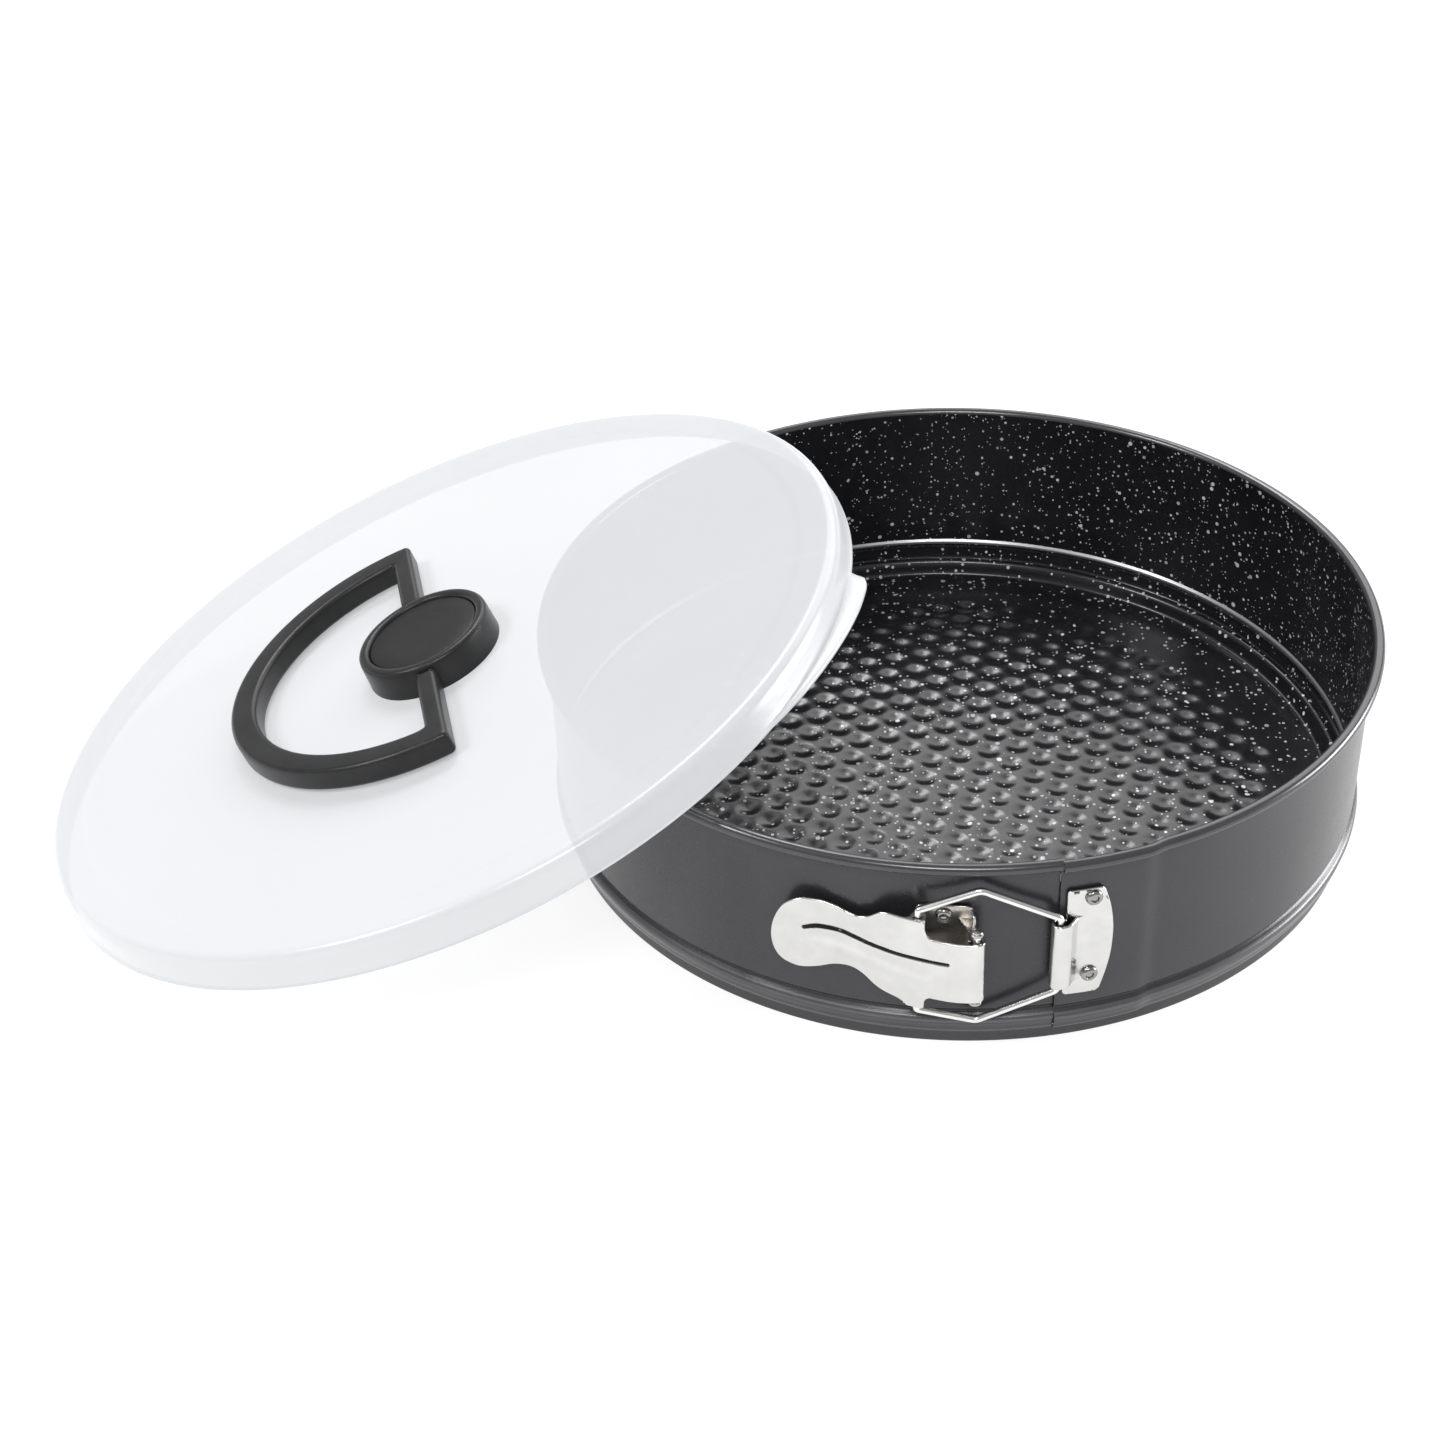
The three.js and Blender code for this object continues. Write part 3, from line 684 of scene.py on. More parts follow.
# the inner layer of the lap, which has no rim or hem of its own
sel = [i for i in range(nC) if 6.6 < center[i][1] < 63.6 and i < i_roll]
tc = center[sel]
tp = np.vstack([offset_line(tc, -0.22), offset_line(tc, 0.24)[::-1]])
nT = len(tc)
tongue = band("hoop_tongue", LAP - 1.2, 19.3, False, 0.75, tp, lambda j: 0 if j < nT else 1)

back_n = 80
back_loops = []
for i in range(back_n + 1):
    a = SPLIT + (360 - 2 * SPLIT) * i / back_n
    back_loops.append(band_loop(a, profile, False))
hoop_back = ring_grid("hoop_back", back_loops, True, [OUTSIDE, INSIDE, RIM_PAINTED_HIGHLIGHT, RIDGE_PAINTED_HIGHLIGHT, LIP_PAINTED_HIGHLIGHT], prof_slot, False, 50)

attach(left_front, "ring_left")
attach(tongue, "ring_left")
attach(right_front, "ring_right")
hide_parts("band_left")
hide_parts("band_right")
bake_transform(hoop_back)

# the wire in the rolled rim
for nm in ("rim_wire_left", "rim_wire_right"):
    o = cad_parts[nm]
    o.data.materials.clear()
    o.data.materials.append(STEEL)


# ------------------------------------------------------------------ base
PITCH = 10.05
ANG = rad(13.9)
e1 = np.array([math.cos(ANG), math.sin(ANG)]) * PITCH
e2 = np.array([math.cos(ANG + math.pi / 3), math.sin(ANG + math.pi / 3)]) * PITCH
ORG = np.array([9.4, 28.7])
DOME_R, DOME_H, FIELD = 4.75, 0.78, 104.0
inv = np.linalg.inv(np.stack([e1, e2], 1))


def domes(x, y):
    p = np.stack([x, y], -1) - ORG
    q = p @ inv.T
    f = np.floor(q)
    best = np.full(x.shape, 1e9)
    cen = np.zeros(p.shape)
    for di in (0, 1):
        for dj in (0, 1):
            g = f + np.array([di, dj])
            c = g[..., 0:1] * e1 + g[..., 1:2] * e2
            d = np.linalg.norm(p - c, axis=-1)
            m = d < best
            best = np.where(m, d, best)
            cen = np.where(m[..., None], c, cen)
    cr = np.linalg.norm(cen + ORG, axis=-1)
    t = np.clip(1 - (best / DOME_R) ** 2, 0, 1)
    h = DOME_H * (0.12 * t + 0.88 * t * t)
    return np.where(cr < FIELD, h, 0.0)


def base_profile(r):
    """height of the sheet's underside by radius, without the domes"""
    pts = [(0, 0.0), (118.4, 0.0), (119.4, 0.20), (120.4, 0.20), (121.4, 0.01), (122.6, 0.0), (123.7, 0.35),
           (124.5, 1.4), (125.1, 3.5), (125.6, 4.9), (126.4, 5.75), (127.4, 5.8), (127.8, 5.78)]
    return float(np.interp(r, [p[0] for p in pts], [p[1] for p in pts]))


seg_b = 600
rs = list(np.arange(0.9, 106.2, 0.85)) + list(np.arange(106.6, 127.75, 0.4)) + [127.8]
th = np.arange(seg_b) * 2 * math.pi / seg_b
R, T = np.meshgrid(np.array(rs), th, indexing="ij")
X, Y = R * np.cos(T), R * np.sin(T)
D = -domes(X, Y)
RISE = 0.80
B0 = np.array([base_profile(r) for r in rs])
# soften the stepped rings
B0 = np.maximum(B0, RISE * (np.array(rs) < 124.4))
k = np.ones(3) / 3
B1 = B0.copy(); B1[1:-1] = np.convolve(B0, k, "same")[1:-1]
nr = len(rs)
verts, faces, fm = [], [], []
T_B = 0.58
d0 = RISE - float(domes(np.array([0.0]), np.array([0.0]))[0])
verts.append((0, 0, d0 + T_B))
for i in range(nr):
    for j in range(seg_b):
        verts.append((X[i, j], Y[i, j], B1[i] + D[i, j] + T_B))
under0 = len(verts)
verts.append((0, 0, d0))
for i in range(nr):
    for j in range(seg_b):
        verts.append((X[i, j], Y[i, j], B1[i] + D[i, j]))


def row(base, i, j):
    return base + 1 + i * seg_b + (j % seg_b)


for base, slot in ((0, 0), (under0, 1)):
    for j in range(seg_b):
        faces.append((base, row(base, 0, j), row(base, 0, j + 1)))
        fm.append(slot)
    for i in range(nr - 1):
        for j in range(seg_b):
            faces.append((row(base, i, j), row(base, i, j + 1), row(base, i + 1, j + 1), row(base, i + 1, j)))
            fm.append(slot)
# rolled edge
edge_rows = []
for k_ in range(1, 6):
    a = rad(90 - 180 * k_ / 6)
    rr, zz = 127.8 + 0.40 * math.cos(a), B1[-1] + T_B / 2 + (T_B / 2 + 0.04) * math.sin(a)
    edge_rows.append(len(verts))
    for j in range(seg_b):
        verts.append((rr * math.cos(th[j]), rr * math.sin(th[j]), zz))
prev = 1 + (nr - 1) * seg_b
for er in edge_rows + [under0 + 1 + (nr - 1) * seg_b]:
    for j in range(seg_b):
        q = (j + 1) % seg_b
        faces.append((prev + j, prev + q, er + q, er + j))
        fm.append(0)
    prev = er
base_vis = mesh_obj("base_domed", verts, faces, [FLOOR_COAT, UNDER], fm, True, 60)
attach(base_vis, "base")
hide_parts("base_plate")


# ------------------------------------------------------------------ latch
Z0 = 36.0
P0, P1, P2 = polar(-0.9, 137.2), polar(-7.8, 134.9), polar(9.2, 133.8)


def arc_pts(cx, cy, r, a0, a1, n):
    return [(cx + r * math.cos(rad(a0 + (a1 - a0) * i / n)), cy + r * math.sin(rad(a0 + (a1 - a0) * i / n))) for i in range(n + 1)]


# lever: one sheet, from the finger tab to the rolled knuckle
plate = [polar(*q) for q in [(-27.5, 135.4), (-24, 133.9), (-21, 132.8), (-18, 132.2), (-15.4, 132.5), (-12.6, 133.7), (-10, 135.3), (-7.6, 136.7), (-5, 138.2), (-3, 139.05)]]
knuckle = arc_pts(P0[0], P0[1], 2.05, -91, 190, 16)
lever_path = Path(plate + knuckle, 8)
tc_, ts_ = math.cos(rad(-12)), math.sin(rad(-12))
U_of = lever_path.p[:, 0] * tc_ + lever_path.p[:, 1] * ts_
n_plate = int(np.argmax(U_of > 25.2))
s_knuckle = lever_path.d[-1]


def s_of_u(u):
    return float(np.interp(u, U_of[:n_plate], lever_path.d[:n_plate]))


over = [(14.0, 10.3), (12.9, 11.3), (12.3, 13.0), (12.2, 15.98), (1.2, 15.98), (-0.9, 15.5), (-2.6, 14.1), (-4.2, 12.9), (-5.8, 12.25), (-7.8, 11.95), (-10.1, 12.55), (-13.3, 13.8), (-16.0, 14.6), (-18.7, 15.15)]
tab = [(-23.1, 15.1), (-26.8, 13.6), (-29.6, 10.8), (-31.9, 5.7), (-32.75, 0.3), (-32.0, -4.6), (-30.0, -8.0), (-26.8, -9.85), (-23.6, -10.4)]
under = [(-19.0, -9.5), (-14.4, -7.75), (-9.7, -7.25), (-6.0, -8.7), (-2.2, -11.75), (0.6, -13.1), (4.3, -14.0), (6.4, -15.0), (7.2, -15.98), (12.2, -15.98), (12.4, -13.0), (13.0, -12.0), (14.0, -11.35)]
left_u = [tuple(q) for q in catmull(over[5:] + tab + under[:8], 5)]
outl = [(s_of_u(u), w) for (u, w) in ([over[0], over[1], over[2], over[3], over[4]] + left_u + under[8:])]
outl = [(s_knuckle, -11.3), (s_knuckle, 10.0), (s_of_u(22.0), 9.9)] + outl + [(s_of_u(22.0), -11.35)]
outl = round_poly(outl, [0.3, 0.3, 0] + [0.8, 0.8, 0.8, 1.0, 0.7] + [0] * len(left_u) + [0.7, 1.0, 0.8, 0.8, 0.8] + [0], 4)

# pressed groove and rib that run from the tab to the knuckle in a shallow S
groove = catmull([(-23.1, 4.3), (-20.6, 5.2), (-18.0, 5.6), (-12.4, 5.3), (-8.0, 4.2), (-3.5, 3.1), (2.7, 2.45), (10.0, 2.3), (18.9, 2.3)], 10)
rib = catmull([(-22.7, -0.6), (-15.7, -0.8), (-7.7, -2.4), (2.7, -4.2), (9.0, -4.8), (15.0, -5.0)], 10)
G1 = np.array([(s_of_u(u), w) for u, w in groove])
G2 = np.array([(s_of_u(u), w) for u, w in rib])


TAB_S = s_of_u(-20.9)


def near(line, u, w):
    d = np.hypot(line[:, 0] - u, line[:, 1] - w)
    k = int(np.argmin(d))
    return float(d[k]), k / (len(line) - 1)


def lever_disp(u, w):
    z = 0.0
    d, t = near(G1, u, w)
    wd = 0.85
    if d < wd:
        z += 0.75 * (0.5 + 0.5 * math.cos(math.pi * d / wd))
    d, t = near(G2, u, w)
    if d < 3.0:
        z += -0.34 * (0.5 + 0.5 * math.cos(math.pi * d / 3.0)) * math.sin(math.pi * min(1, max(0, t))) ** 0.5
    # the tab is dished a little, with its edge standing proud
    q = math.hypot(u - TAB_S, w - 1.6)
    if q < 12.5:
        z += 0.28 * (1 - (q / 12.5) ** 2)
    return z


def along(path):
    def f(s, w, off):
        x, y, tx, ty = path.at(s)
        # left of the direction of travel is towards the pan for a left-to-right path
        return (x - ty * off, y + tx * off, Z0 + w)
    return f


shade_store = []


def lever_map(s, w, off):
    # painted shade: points near the groove get a 'shade' value that darkens the lever's colour there
    d, t = near(G1, s, w)
    wide = 1.25 * min(1.0, 0.72 + 2.0 * t) * min(1.0, 0.62 + 0.55 * (1 - t))
    shade_store.append(max(0.0, 1 - d / wide) if d < 3 else 0.0)
    return along(lever_path)(s, w, off)


lever = sheet_piece("lever_pressed", outl, 0.5, 0.42, lever_map, [NICKEL_LEVER], grid=0.42, disp=lever_disp, seg=4, step=0.5, values=shade_store)


def ear_piece(name, loop, z_lo, z_hi, mats, holes=(), edge=0.3):
    mid, half = (z_lo + z_hi) / 2, (z_hi - z_lo) / 2
    return sheet_piece(name, loop, half, min(edge, half * 0.9), lambda u, w, off: (u, w, mid + off), mats, holes=holes, grid=0, step=0.4)


def join(objs, name):
    dg = bmesh.new()
    mats = []
    me = bpy.data.meshes.new(name)
    for o in objs:
        for m in o.data.materials:
            if m not in mats:
                mats.append(m)
    off = 0
    verts, faces, fm, shade = [], [], [], []
    for o in objs:
        verts += [tuple(v.co) for v in o.data.vertices]
        at = o.data.attributes.get("shade")
        vals = np.zeros(len(o.data.vertices), dtype=np.float32)
        if at is not None:
            at.data.foreach_get("value", vals)
        shade += list(vals)
        for p in o.data.polygons:
            faces.append(tuple(i + off for i in p.vertices))
            fm.append(mats.index(o.data.materials[p.material_index]))
        off += len(o.data.vertices)
    me.from_pydata(verts, [], faces)
    if max(shade) > 0:
        me.attributes.new("shade", "FLOAT", "POINT").data.foreach_set("value", np.array(shade, dtype=np.float32))
    for m in mats:
        me.materials.append(m)
    me.polygons.foreach_set("material_index", np.array(fm, dtype=np.int32))
    me.polygons.foreach_set("use_smooth", np.full(len(me.polygons), True))
    me.set_sharp_from_angle(angle=rad(48))
    me.update()
    dg.free()
    o = bpy.data.objects.new(name, me)
    col.objects.link(o)
    for q in objs:
        bpy.data.objects.remove(q)
    return o


ear_loop = round_poly([polar(-6.9, 137.0)] + arc_pts(P1[0], P1[1], 2.5, 10, 170, 10) + [polar(-9.6, 135.45)], [0.5] + [0] * 11 + [0.5])
ear_hole = arc_pts(P1[0], P1[1], 1.35, 0, 360, 20)[:-1]
ears = [ear_piece("ear%d" % s, ear_loop, Z0 + (15.0 if s > 0 else -15.96), Z0 + (15.96 if s > 0 else -15.0), [NICKEL], [ear_hole]) for s in (1, -1)]
lever = join([lever] + ears, "lever_pressed")
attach(lever, "lever")
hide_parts("latch_lever")

# wire loop
L = math.hypot(P2[0] - P1[0], P2[1] - P1[1])
corner = [(0, 16.45), (0, 18.35), (16.4, 23.9), (38.6, 13.9), (L, 12.6)]


def loop_at(u, w):
    return (P1[0] + (P2[0] - P1[0]) * u / L, P1[1] + (P2[1] - P1[1]) * u / L, Z0 + w)


half_pts = [(0, 16.45), (0, 18.5), (17.0, 23.75), (38.4, 13.9), (L, 12.9)]
full = [(0, 16.45), (0, 18.3), (17.3, 24.35), (L, 13.2), (L, -13.2), (17.0, -23.4), (0, -18.2), (0, -16.45)]
rr_ = [0, 1.3, 3.4, 2.2, 2.2, 3.4, 1.3, 0]
line = []
for i, (u, w) in enumerate(full):
    if rr_[i] == 0:
        line.append((u, w))
        continue
    p0, p1, p2 = (np.array(full[i + d], float) for d in (-1, 0, 1))
    a, b = p0 - p1, p2 - p1
    la, lb = np.linalg.norm(a), np.linalg.norm(b)
    a, b = a / la, b / lb
    ang = math.acos(float(a @ b))
    d = min(rr_[i] / math.tan(ang / 2), la * 0.48, lb * 0.48)
    for k in range(9):
        t = k / 8
        q = (1 - t) ** 2 * (p1 + a * d) + 2 * t * (1 - t) * p1 + t * t * (p1 + b * d)
        line.append((q[0], q[1]))
fine = []
for i in range(len(line) - 1):
    a, b = np.array(line[i]), np.array(line[i + 1])
    n = max(1, int(np.linalg.norm(b - a) / 1.5))
    for k in range(n):
        fine.append(a + (b - a) * k / n)
fine.append(np.array(line[-1]))
wire = tube("wire_loop", [loop_at(q[0], q[1]) for q in fine], 1.1, 20, [WIRE])
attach(wire, "loop")
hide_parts("wire_bail")

# catch plate with its rolled hook
flat_path = Path([polar(a, 131.65) for a in (17.4, 16, 14.5, 13, 11.8, 10.9, 10.2, 9.8)], 8)
ang_c = np.degrees(np.arctan2(flat_path.p[:, 0], -flat_path.p[:, 1]))


def s_of_a(a):
    return float(np.interp(-a, -ang_c, flat_path.d))


right_edge = [tuple(q) for q in catmull([(15.0, 19.4), (15.7, 14.0), (16.15, 8.0), (16.28, 3.0), (16.15, -4.0), (15.65, -10.5), (14.95, -16.6)], 5)]
cout = [(s_of_a(10.1), 20.8), (s_of_a(14.55), 20.7)] + [(s_of_a(a), w) for a, w in right_edge] + [(s_of_a(14.4), -17.6), (s_of_a(10.1), -17.3)]
nre = len(right_edge)
cout = round_poly(cout, [1.0, 1.1] + [0.9] + [0] * (nre - 2) + [0.9, 1.1, 1.6], 5)
hook_path = Path([polar(*q) for q in [(13.0, 131.66), (12.4, 131.68), (11.9, 131.9), (11.35, 132.55), (10.85, 133.7), (10.4, 134.8), (9.95, 135.5)]] + arc_pts(P2[0], P2[1], 2.05, 283, 35, 18), 8)
hook_out = round_poly([(0, -11.6), (hook_path.d[-1], -11.35), (hook_path.d[-1], 11.35), (0, 11.6)], [0.3, 0.4, 0.4, 0.3], 4)


def along_in(path):
    def f(s, w, off):
        x, y, tx, ty = path.at(s)
        return (x + ty * off, y - tx * off, Z0 + w)
    return f


catch_flat = sheet_piece("catch_flat", cout, 0.46, 0.38, along_in(flat_path), [NICKEL], grid=0.9, seg=4, step=0.5)
catch_hook = sheet_piece("catch_hook", hook_out, 0.455, 0.38, along_in(hook_path), [NICKEL], grid=0.5, seg=4, step=0.5)
catch = join([catch_flat, catch_hook], "catch_pressed")
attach(catch, "ring_right")
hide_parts("catch_plate")

# bracket: curved foot and two ears round the pin
bp = Path([polar(a, 130.7) for a in np.linspace(-9.2, 0.6, 8)], 6)
ang_b = np.degrees(np.arctan2(bp.p[:, 0], -bp.p[:, 1]))


def s_b(a):
    return float(np.interp(a, ang_b, bp.d))


foot_outline = round_poly([(s_b(-8.3), -17.1), (s_b(-1.2), -17.1), (s_b(-1.2), 17.1), (s_b(-8.3), 17.1)], [2.2, 2.4, 2.4, 2.2], 8)
# the foot and the ears take the darker nickel: painted shade
foot = sheet_piece("bracket_foot", foot_outline, 0.48, 0.4, along(bp), [NICKEL_PAINTED_SHADE], grid=1.2, seg=3, step=0.6)
b_loop = round_poly([polar(-3.2, 130.6)] + arc_pts(P0[0], P0[1], 1.95, 185, 355, 14) + [polar(-1.0, 134.0), polar(-1.2, 130.6)], [0.2] + [0] * 15 + [0.2, 0.2])
b_hole = arc_pts(P0[0], P0[1], 1.35, 0, 360, 20)[:-1]
up_path = Path([polar(-1.42 + 0.06 * k, r) for k, r in enumerate(np.linspace(130.9, 134.25, 6))], 4)
up_len = up_path.d[-1]
up_out = round_poly([(0, -16.0), (up_len, -15.4), (up_len, 15.4), (0, 16.0)], [0.2, 2.4, 2.4, 0.2], 8)
upstand = sheet_piece("bracket_upstand", up_out, 0.42, 0.36, along(up_path), [NICKEL], grid=0, seg=3, step=0.5)
b_ears = [ear_piece("bear%d" % s, b_loop, Z0 + (12.0 if s > 0 else -13.0), Z0 + (13.0 if s > 0 else -12.0), [NICKEL_PAINTED_SHADE], [b_hole]) for s in (1, -1)]
bracket = join([foot, upstand] + b_ears, "bracket_pressed")
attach(bracket, "ring_left")
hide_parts("latch_bracket")

# pin and rivets
pin_m = Matrix.Translation((P0[0], P0[1], Z0))
pin_prof = [(0, -13.42), (0.9, -13.4), (1.4, -13.3), (1.55, -13.12), (1.5, -13.03), (1.2, -13.02), (1.2, 13.02), (1.5, 13.03), (1.55, 13.12), (1.4, 13.3), (0.9, 13.4), (0, 13.42)]
pin = revolve("pivot_pin", pin_prof, 36, [WIRE], pin_m)
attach(pin, "ring_left")
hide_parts("lever_pivot_pin")


def radial_matrix(deg, z):
    n = Vector((math.sin(rad(deg)), -math.cos(rad(deg)), 0))
    q = Vector((0, 0, 1)).rotation_difference(n)
    return Matrix.Translation((0, 0, z)) @ q.to_matrix().to_4x4()


def rivet(name, cad, body, deg, z, inner, seat):
    prof = [(0, inner), (1.1, inner), (1.15, inner + 0.1), (1.15, seat - 0.28), (2.3, seat - 0.27), (2.48, seat - 0.12), (2.5, seat + 0.1), (2.38, seat + 0.45), (2.1, seat + 0.75),
            (1.75, seat + 0.95), (1.45, seat + 1.03), (1.22, seat + 0.98), (1.05, seat + 0.72), (0.95, seat + 0.35), (0.6, seat + 0.22), (0, seat + 0.2)]
    o = revolve(name, prof, 40, [RIVET], radial_matrix(deg, z))
    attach(o, body)
    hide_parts(cad)
    return o


rivet("rivet_bracket_top", "bracket_rivet_top", "ring_left", -4.8, Z0 + 14.0, 129.35, 131.5)
rivet("rivet_bracket_bottom", "bracket_rivet_bottom", "ring_left", -4.8, Z0 - 14.0, 129.35, 131.5)
rivet("rivet_catch_top", "catch_rivet_top", "ring_right", 13.4, Z0 + 17.7, 130.32, 132.45)
rivet("rivet_catch_bottom", "catch_rivet_bottom", "ring_right", 13.4, Z0 - 10.2, 130.32, 132.45)


# ------------------------------------------------------------------ lid
TILT = 19.5
LC = Vector((-162.8, -5.9, 46.2))
lid_m = Matrix.Translation(LC) @ Matrix.Rotation(-rad(TILT), 4, "Y")
UNDER_H, TOP_H, LID_R = 10.37, 11.33, 138.28

lid_out = catmull([(138.05, 1.75), (137.75, 3.4), (137.45, 5.6), (137.1, 8.0), (136.6, 9.6), (135.6, 10.75), (134.2, 11.25), (132.0, TOP_H), (128.0, TOP_H)], 4)
lid_in = catmull([(127.6, 10.68), (131.6, 10.62), (133.4, 10.3), (134.6, 9.6), (135.3, 8.4), (135.65, 6.0), (135.95, 3.4), (136.3, 1.2), (136.6, 0.25)], 4)
top_c = [(126.2, TOP_H), (124.9, TOP_H - 0.10), (124.0, 11.02), (122.6, 11.0)] + [(r, 11.0) for r in (110, 95, 78, 60, 42, 30, 24, 12, 2.4)]
bot_c = [(2.4, 10.37)] + [(r, 10.37) for r in (12, 24, 30, 42, 60, 78, 95, 110)] + [(122.2, 10.37), (123.6, 10.4), (124.6, 10.6), (126.0, 10.68)]
shelf = [(136.75, 0.02), (137.4, 0.0), (LID_R - 0.35, 0.0), (LID_R, 0.35), (LID_R, 1.25), (LID_R - 0.2, 1.6)]
lid_prof = [tuple(q) for q in lid_out] + top_c + bot_c + [tuple(q) for q in lid_in] + shelf
n_lp = len(lid_prof)
shelf_w = {n_lp - 5: 0.55, n_lp - 4: 0.96, n_lp - 3: 1.0, n_lp - 2: 1.0, n_lp - 1: 0.97}
tab_a = [6.7, 7.0, 7.5, 8.4, 10, 14, 18, 22, 26, 30, 34, 36]
tab_r = [138.28, 140.6, 142.6, 143.9, 144.25, 144.0, 143.2, 142.2, 141.2, 140.2, 139.0, 138.28]


def tab_ext(deg):
    return float(np.interp(deg, tab_a, tab_r)) - LID_R if 6.7 < deg < 36 else 0.0


angs = []
a = 0.0
while a < 360:
    angs.append(a)
    d = 360 - a
    a += 0.25 if (d > 323 and d <= 354) else (0.1 if 351 < d < 355 else 1.0)
verts, faces, fm = [], [], []
for a in angs:
    tw = tab_ext(360 - a)
    for i, (r, h) in enumerate(lid_prof):
        r2 = r + tw * shelf_w.get(i, 0.0)
        v = lid_m @ Vector((r2 * math.cos(rad(a)), r2 * math.sin(rad(a)), h))
        verts.append((v.x, v.y, v.z))
na = len(angs)
for i in range(na):
    q = (i + 1) % na
    for j in range(n_lp):
        k2 = (j + 1) % n_lp
        faces.append((i * n_lp + j, i * n_lp + k2, q * n_lp + k2, q * n_lp + j))
inner0 = len(lid_out) + len(top_c)
inner1 = n_lp - len(shelf)
lid_fm = [1 if inner0 <= j < inner1 else 0 for i in range(na) for j in range(n_lp)]
lid = mesh_obj("lid_milky_shell", verts, faces, [MILKY, MILKY_IN], lid_fm, True, 60)
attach(lid, "lid")
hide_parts("lid_shell")

# hub: body, recessed cap, washer and screw below
HR, HT = 22.4, 21.35
hub_prof = [(2.0, 11.05), (HR + 0.25, 11.05), (HR + 0.32, 11.5), (HR + 0.2, 12.2), (HR + 0.02, 17.0), (HR - 0.1, 19.6), (HR - 0.28, 20.5), (HR - 0.75, 21.1), (HR - 1.4, HT), (20.0, HT), (19.2, 21.2), (18.75, 20.7), (18.6, 19.8), (18.6, 18.9), (2.0, 18.9)]
hub = revolve("hub_body", hub_prof, 120, [BLACK], lid_m, sharp=40, closed=True)
cap_prof = [(0, 19.1), (18.3, 19.1), (18.35, 20.0), (18.2, 20.35), (17.7, 20.5), (12.0, 20.46), (6.0, 20.44), (0, 20.43)]
cap = revolve("hub_top_disc", cap_prof, 96, [BLACK_TOP], lid_m, sharp=40)
wash = revolve("hub_under_washer", [(2.1, 8.5), (8.4, 8.5), (8.75, 8.85), (8.8, 10.05), (2.1, 10.05)], 60, [BLACK], lid_m, closed=True)
scr_prof = [(0, 6.9), (0.9, 6.9), (1.0, 6.35), (1.6, 6.22), (2.6, 6.3), (3.3, 6.7), (3.6, 7.3), (3.6, 8.15), (1.6, 8.2), (1.6, 16.3), (1.2, 16.8), (0, 16.9)]
scr = revolve("hub_fixing_screw", scr_prof, 40, [NICKEL], lid_m)
for o, cadn, sl in ((hub, "handle_hub", "black_plastic"), (cap, "hub_cap", "black_plastic"), (wash, "hub_washer", "black_plastic"), (scr, "hub_screw", "nickel")):
    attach(o, "lid")
    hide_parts(cadn)

# handle
YAW, AX_H, AX_OFF = 13.5, 16.0, 2.2
ax = Vector((-math.sin(rad(YAW)), math.cos(rad(YAW)), 0))
bw = Vector((-math.cos(rad(YAW)), -math.sin(rad(YAW)), 0))
RO, WB, BO, WA = 64.0, 9.0, 2.1, 6.8
ri = RO - WB
a0, w_ = HR + 0.55, WA / 2
ang_o = math.degrees(math.asin((w_ + BO - 2.4) / RO))
ang_i = math.degrees(math.asin((w_ + 2.4 - BO) / ri))
xo, xi = RO * math.cos(rad(ang_o)), ri * math.cos(rad(ang_i))
h_out = [(a0, -w_), (xo - 0.2, -w_)] + [(RO * math.cos(rad(t)), BO + RO * math.sin(rad(t))) for t in np.linspace(-ang_o + 1.6, 180 + ang_o - 1.6, 90)] + [(0.2 - xo, -w_), (-a0, -w_), (-a0, w_), (-xi + 0.2, w_)] + \
        [(ri * math.cos(rad(t)), BO + ri * math.sin(rad(t))) for t in np.linspace(180 - ang_i - 1.0, ang_i + 1.0, 80)] + [(xi - 0.2, w_), (a0, w_)]
h_r = [0.5, 2.2] + [0] * 90 + [2.2, 0.5, 0.5, 1.6] + [0] * 80 + [1.6, 0.5]
h_out = round_poly(h_out, h_r, 6)


def handle_map(u, w, off):
    v = lid_m @ (ax * u + bw * (w + AX_OFF) + Vector((0, 0, AX_H + off)))
    return (v.x, v.y, v.z)


def hpiece(name, outline, half_t, edge, mats):
    return sheet_piece(name, outline, half_t, edge, handle_map, mats, grid=0, seg=6, step=1.2)


handle = hpiece("carry_handle", h_out, 4.05, 1.75, [BLACK])
stubs = []
for s in (1, -1):
    d = ax * s
    q = Vector((0, 0, 1)).rotation_difference(d)
    mtx = lid_m @ Matrix.Translation(bw * AX_OFF + Vector((0, 0, AX_H))) @ q.to_matrix().to_4x4()
    stubs.append(revolve("stub%d" % s, [(0, 18.8), (2.2, 18.8), (2.5, 19.2), (2.5, a0 + 2.0), (0, a0 + 2.0)], 28, [BLACK], mtx))
handle = join([handle] + stubs, "carry_handle")
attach(handle, "handle")
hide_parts("handle_bail")


# ------------------------------------------------------------------ stage, lights, camera
m, nt, b = new_mat("floor_pale")
b.inputs["Roughness"].default_value = 0.9
b.inputs["Specular IOR Level"].default_value = 0.1
tint = ramp(nt, [(0.3, (0.30, 0.30, 0.30, 1)), (0.7, (0.315, 0.315, 0.315, 1))])
nt.links.new(noise(nt, coords(nt), 3.0), tint.inputs["Fac"])
nt.links.new(tint.outputs["Color"], b.inputs["Base Color"])
b.inputs["Emission Color"].default_value = (1, 1, 1, 1)
b.inputs["Emission Strength"].default_value = 0.80
me = bpy.data.meshes.new("floor")
S = 6.0
me.from_pydata([(-S, -S, -0.0002), (S, -S, -0.0002), (S, S, -0.0002), (-S, S, -0.0002)], [], [(0, 1, 2, 3)])
me.materials.append(m)
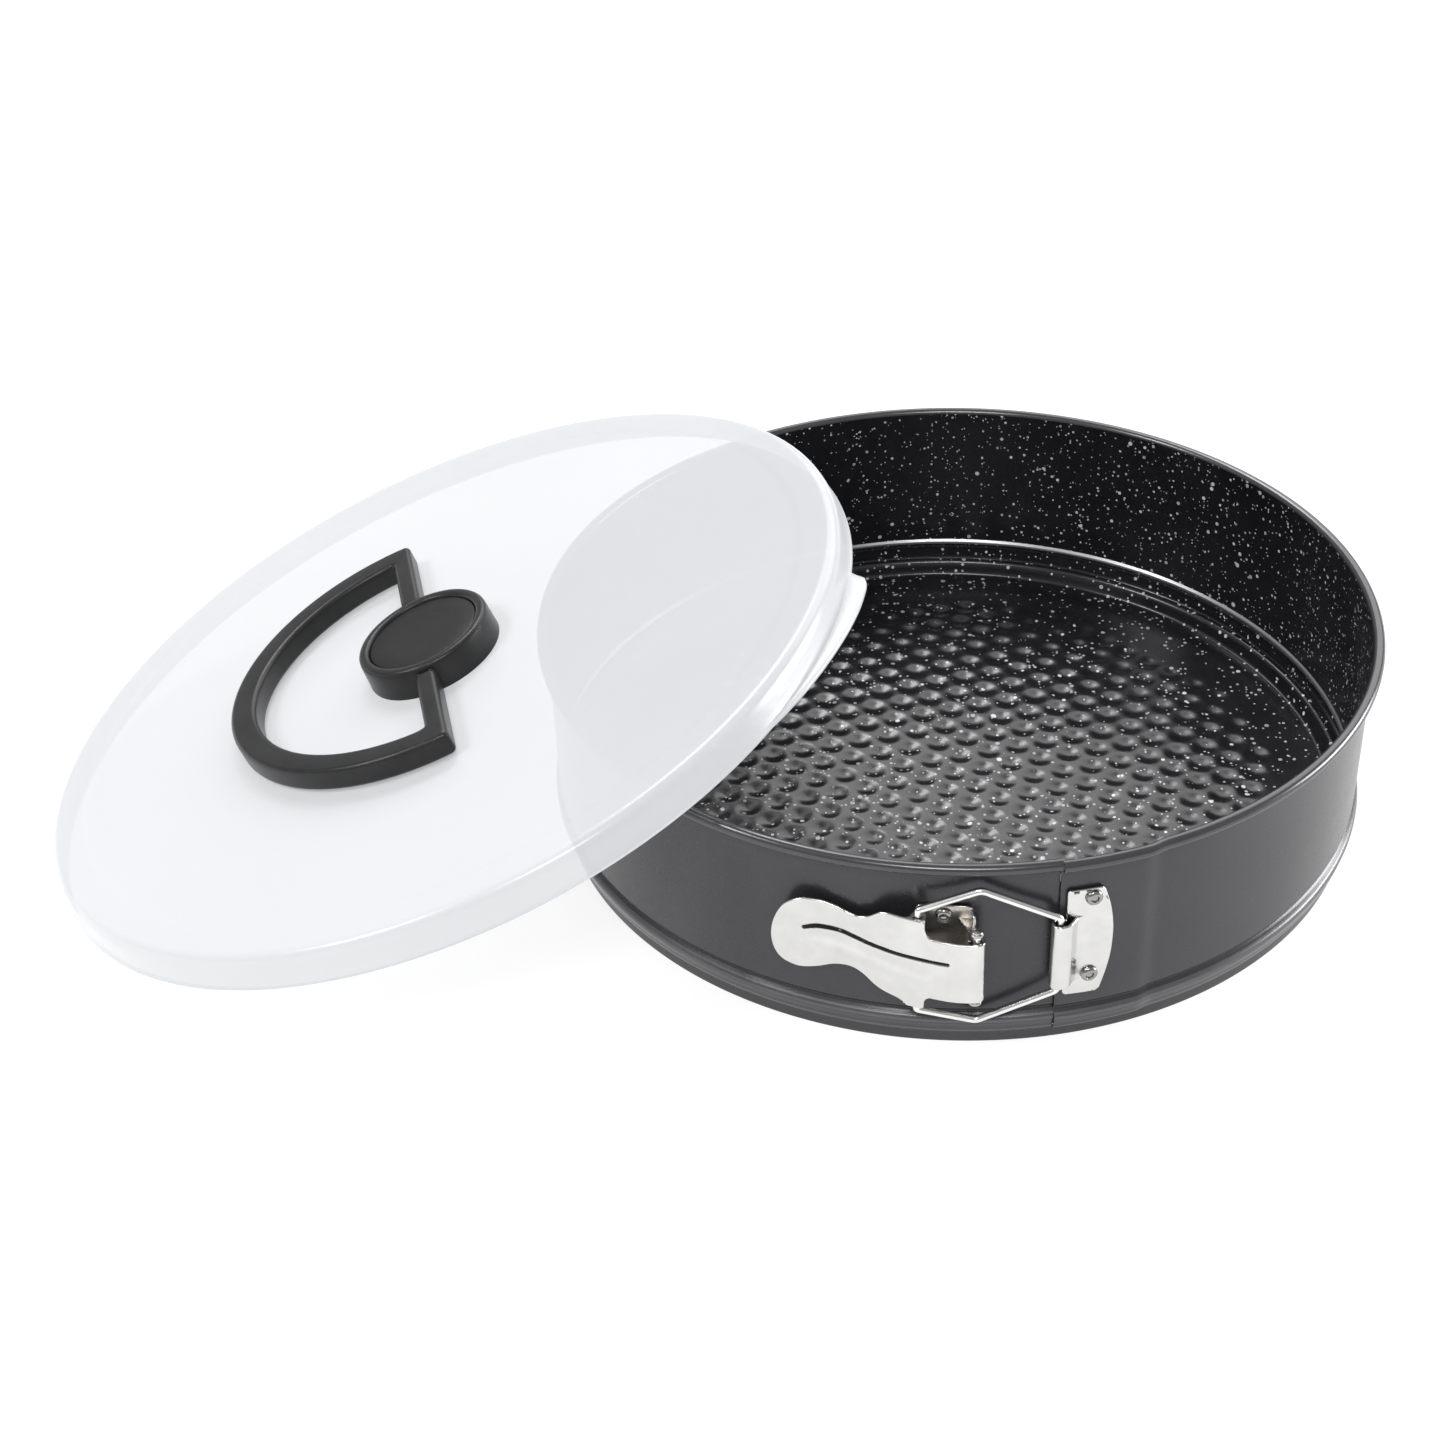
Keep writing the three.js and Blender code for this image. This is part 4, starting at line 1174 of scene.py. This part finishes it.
floor = bpy.data.objects.new("floor", me)
col.objects.link(floor)

world = bpy.data.worlds.new("studio")
bpy.context.scene.world = world
world.use_nodes = True
bg = world.node_tree.nodes["Background"]
bg.inputs["Color"].default_value = (0.97, 0.98, 1.0, 1)
bg.inputs["Strength"].default_value = 0.42


def area(name, loc, target, size, radiance, size_y=None, color=(1, 1, 1)):
    l = bpy.data.lights.new(name, "AREA")
    size_y = size_y or size
    l.energy = radiance * math.pi * size * size_y
    l.color = color
    l.shape = "RECTANGLE"
    l.size = size
    l.size_y = size_y
    o = bpy.data.objects.new(name, l)
    col.objects.link(o)
    o.location = loc
    o.rotation_euler = (Vector(target) - Vector(loc)).to_track_quat("-Z", "Y").to_euler()
    return o


area("back_softbox", (0.55, 1.62, 1.48), (0.03, 0, 0.02), 2.5, 2.3, 1.7)
area("back_high", (-0.55, 1.2, 1.75), (0, 0, 0.02), 0.9, 10.0, 0.6)
area("front_top", (-0.15, -1.6, 2.05), (0, 0, 0.03), 0.9, 18.0, 0.45)
area("left_strip", (-1.25, -0.45, 1.2), (-0.05, 0, 0.03), 0.45, 14.0, 0.5)
area("right_side", (1.6, 0.3, 0.35), (0.05, 0, 0.03), 0.9, 15.0, 0.6)

cam_d = bpy.data.cameras.new("camera")
cam_d.sensor_width = 36.0
cam_d.sensor_fit = "HORIZONTAL"
cam_d.lens = 36.0 * 2378 / 1445
cam_d.clip_start = 0.01
cam_d.clip_end = 50
cam = bpy.data.objects.new("camera", cam_d)
col.objects.link(cam)
rx = Vector((0.999226, 0.016275, -0.035825)).normalized()
fw = Vector((-0.034079, 0.813094, -0.581134)).normalized()
uy = rx.cross(fw).normalized()
mw = Matrix.Identity(4)
for i in range(3):
    mw[i][0], mw[i][1], mw[i][2] = rx[i], uy[i], -fw[i]
mw[0][3], mw[1][3], mw[2][3] = -0.04876, -0.63714, 0.47897
cam.matrix_world = mw
bpy.context.scene.camera = cam
bpy.context.scene.view_settings.view_transform = "Standard"
bpy.context.scene.view_settings.look = "None"
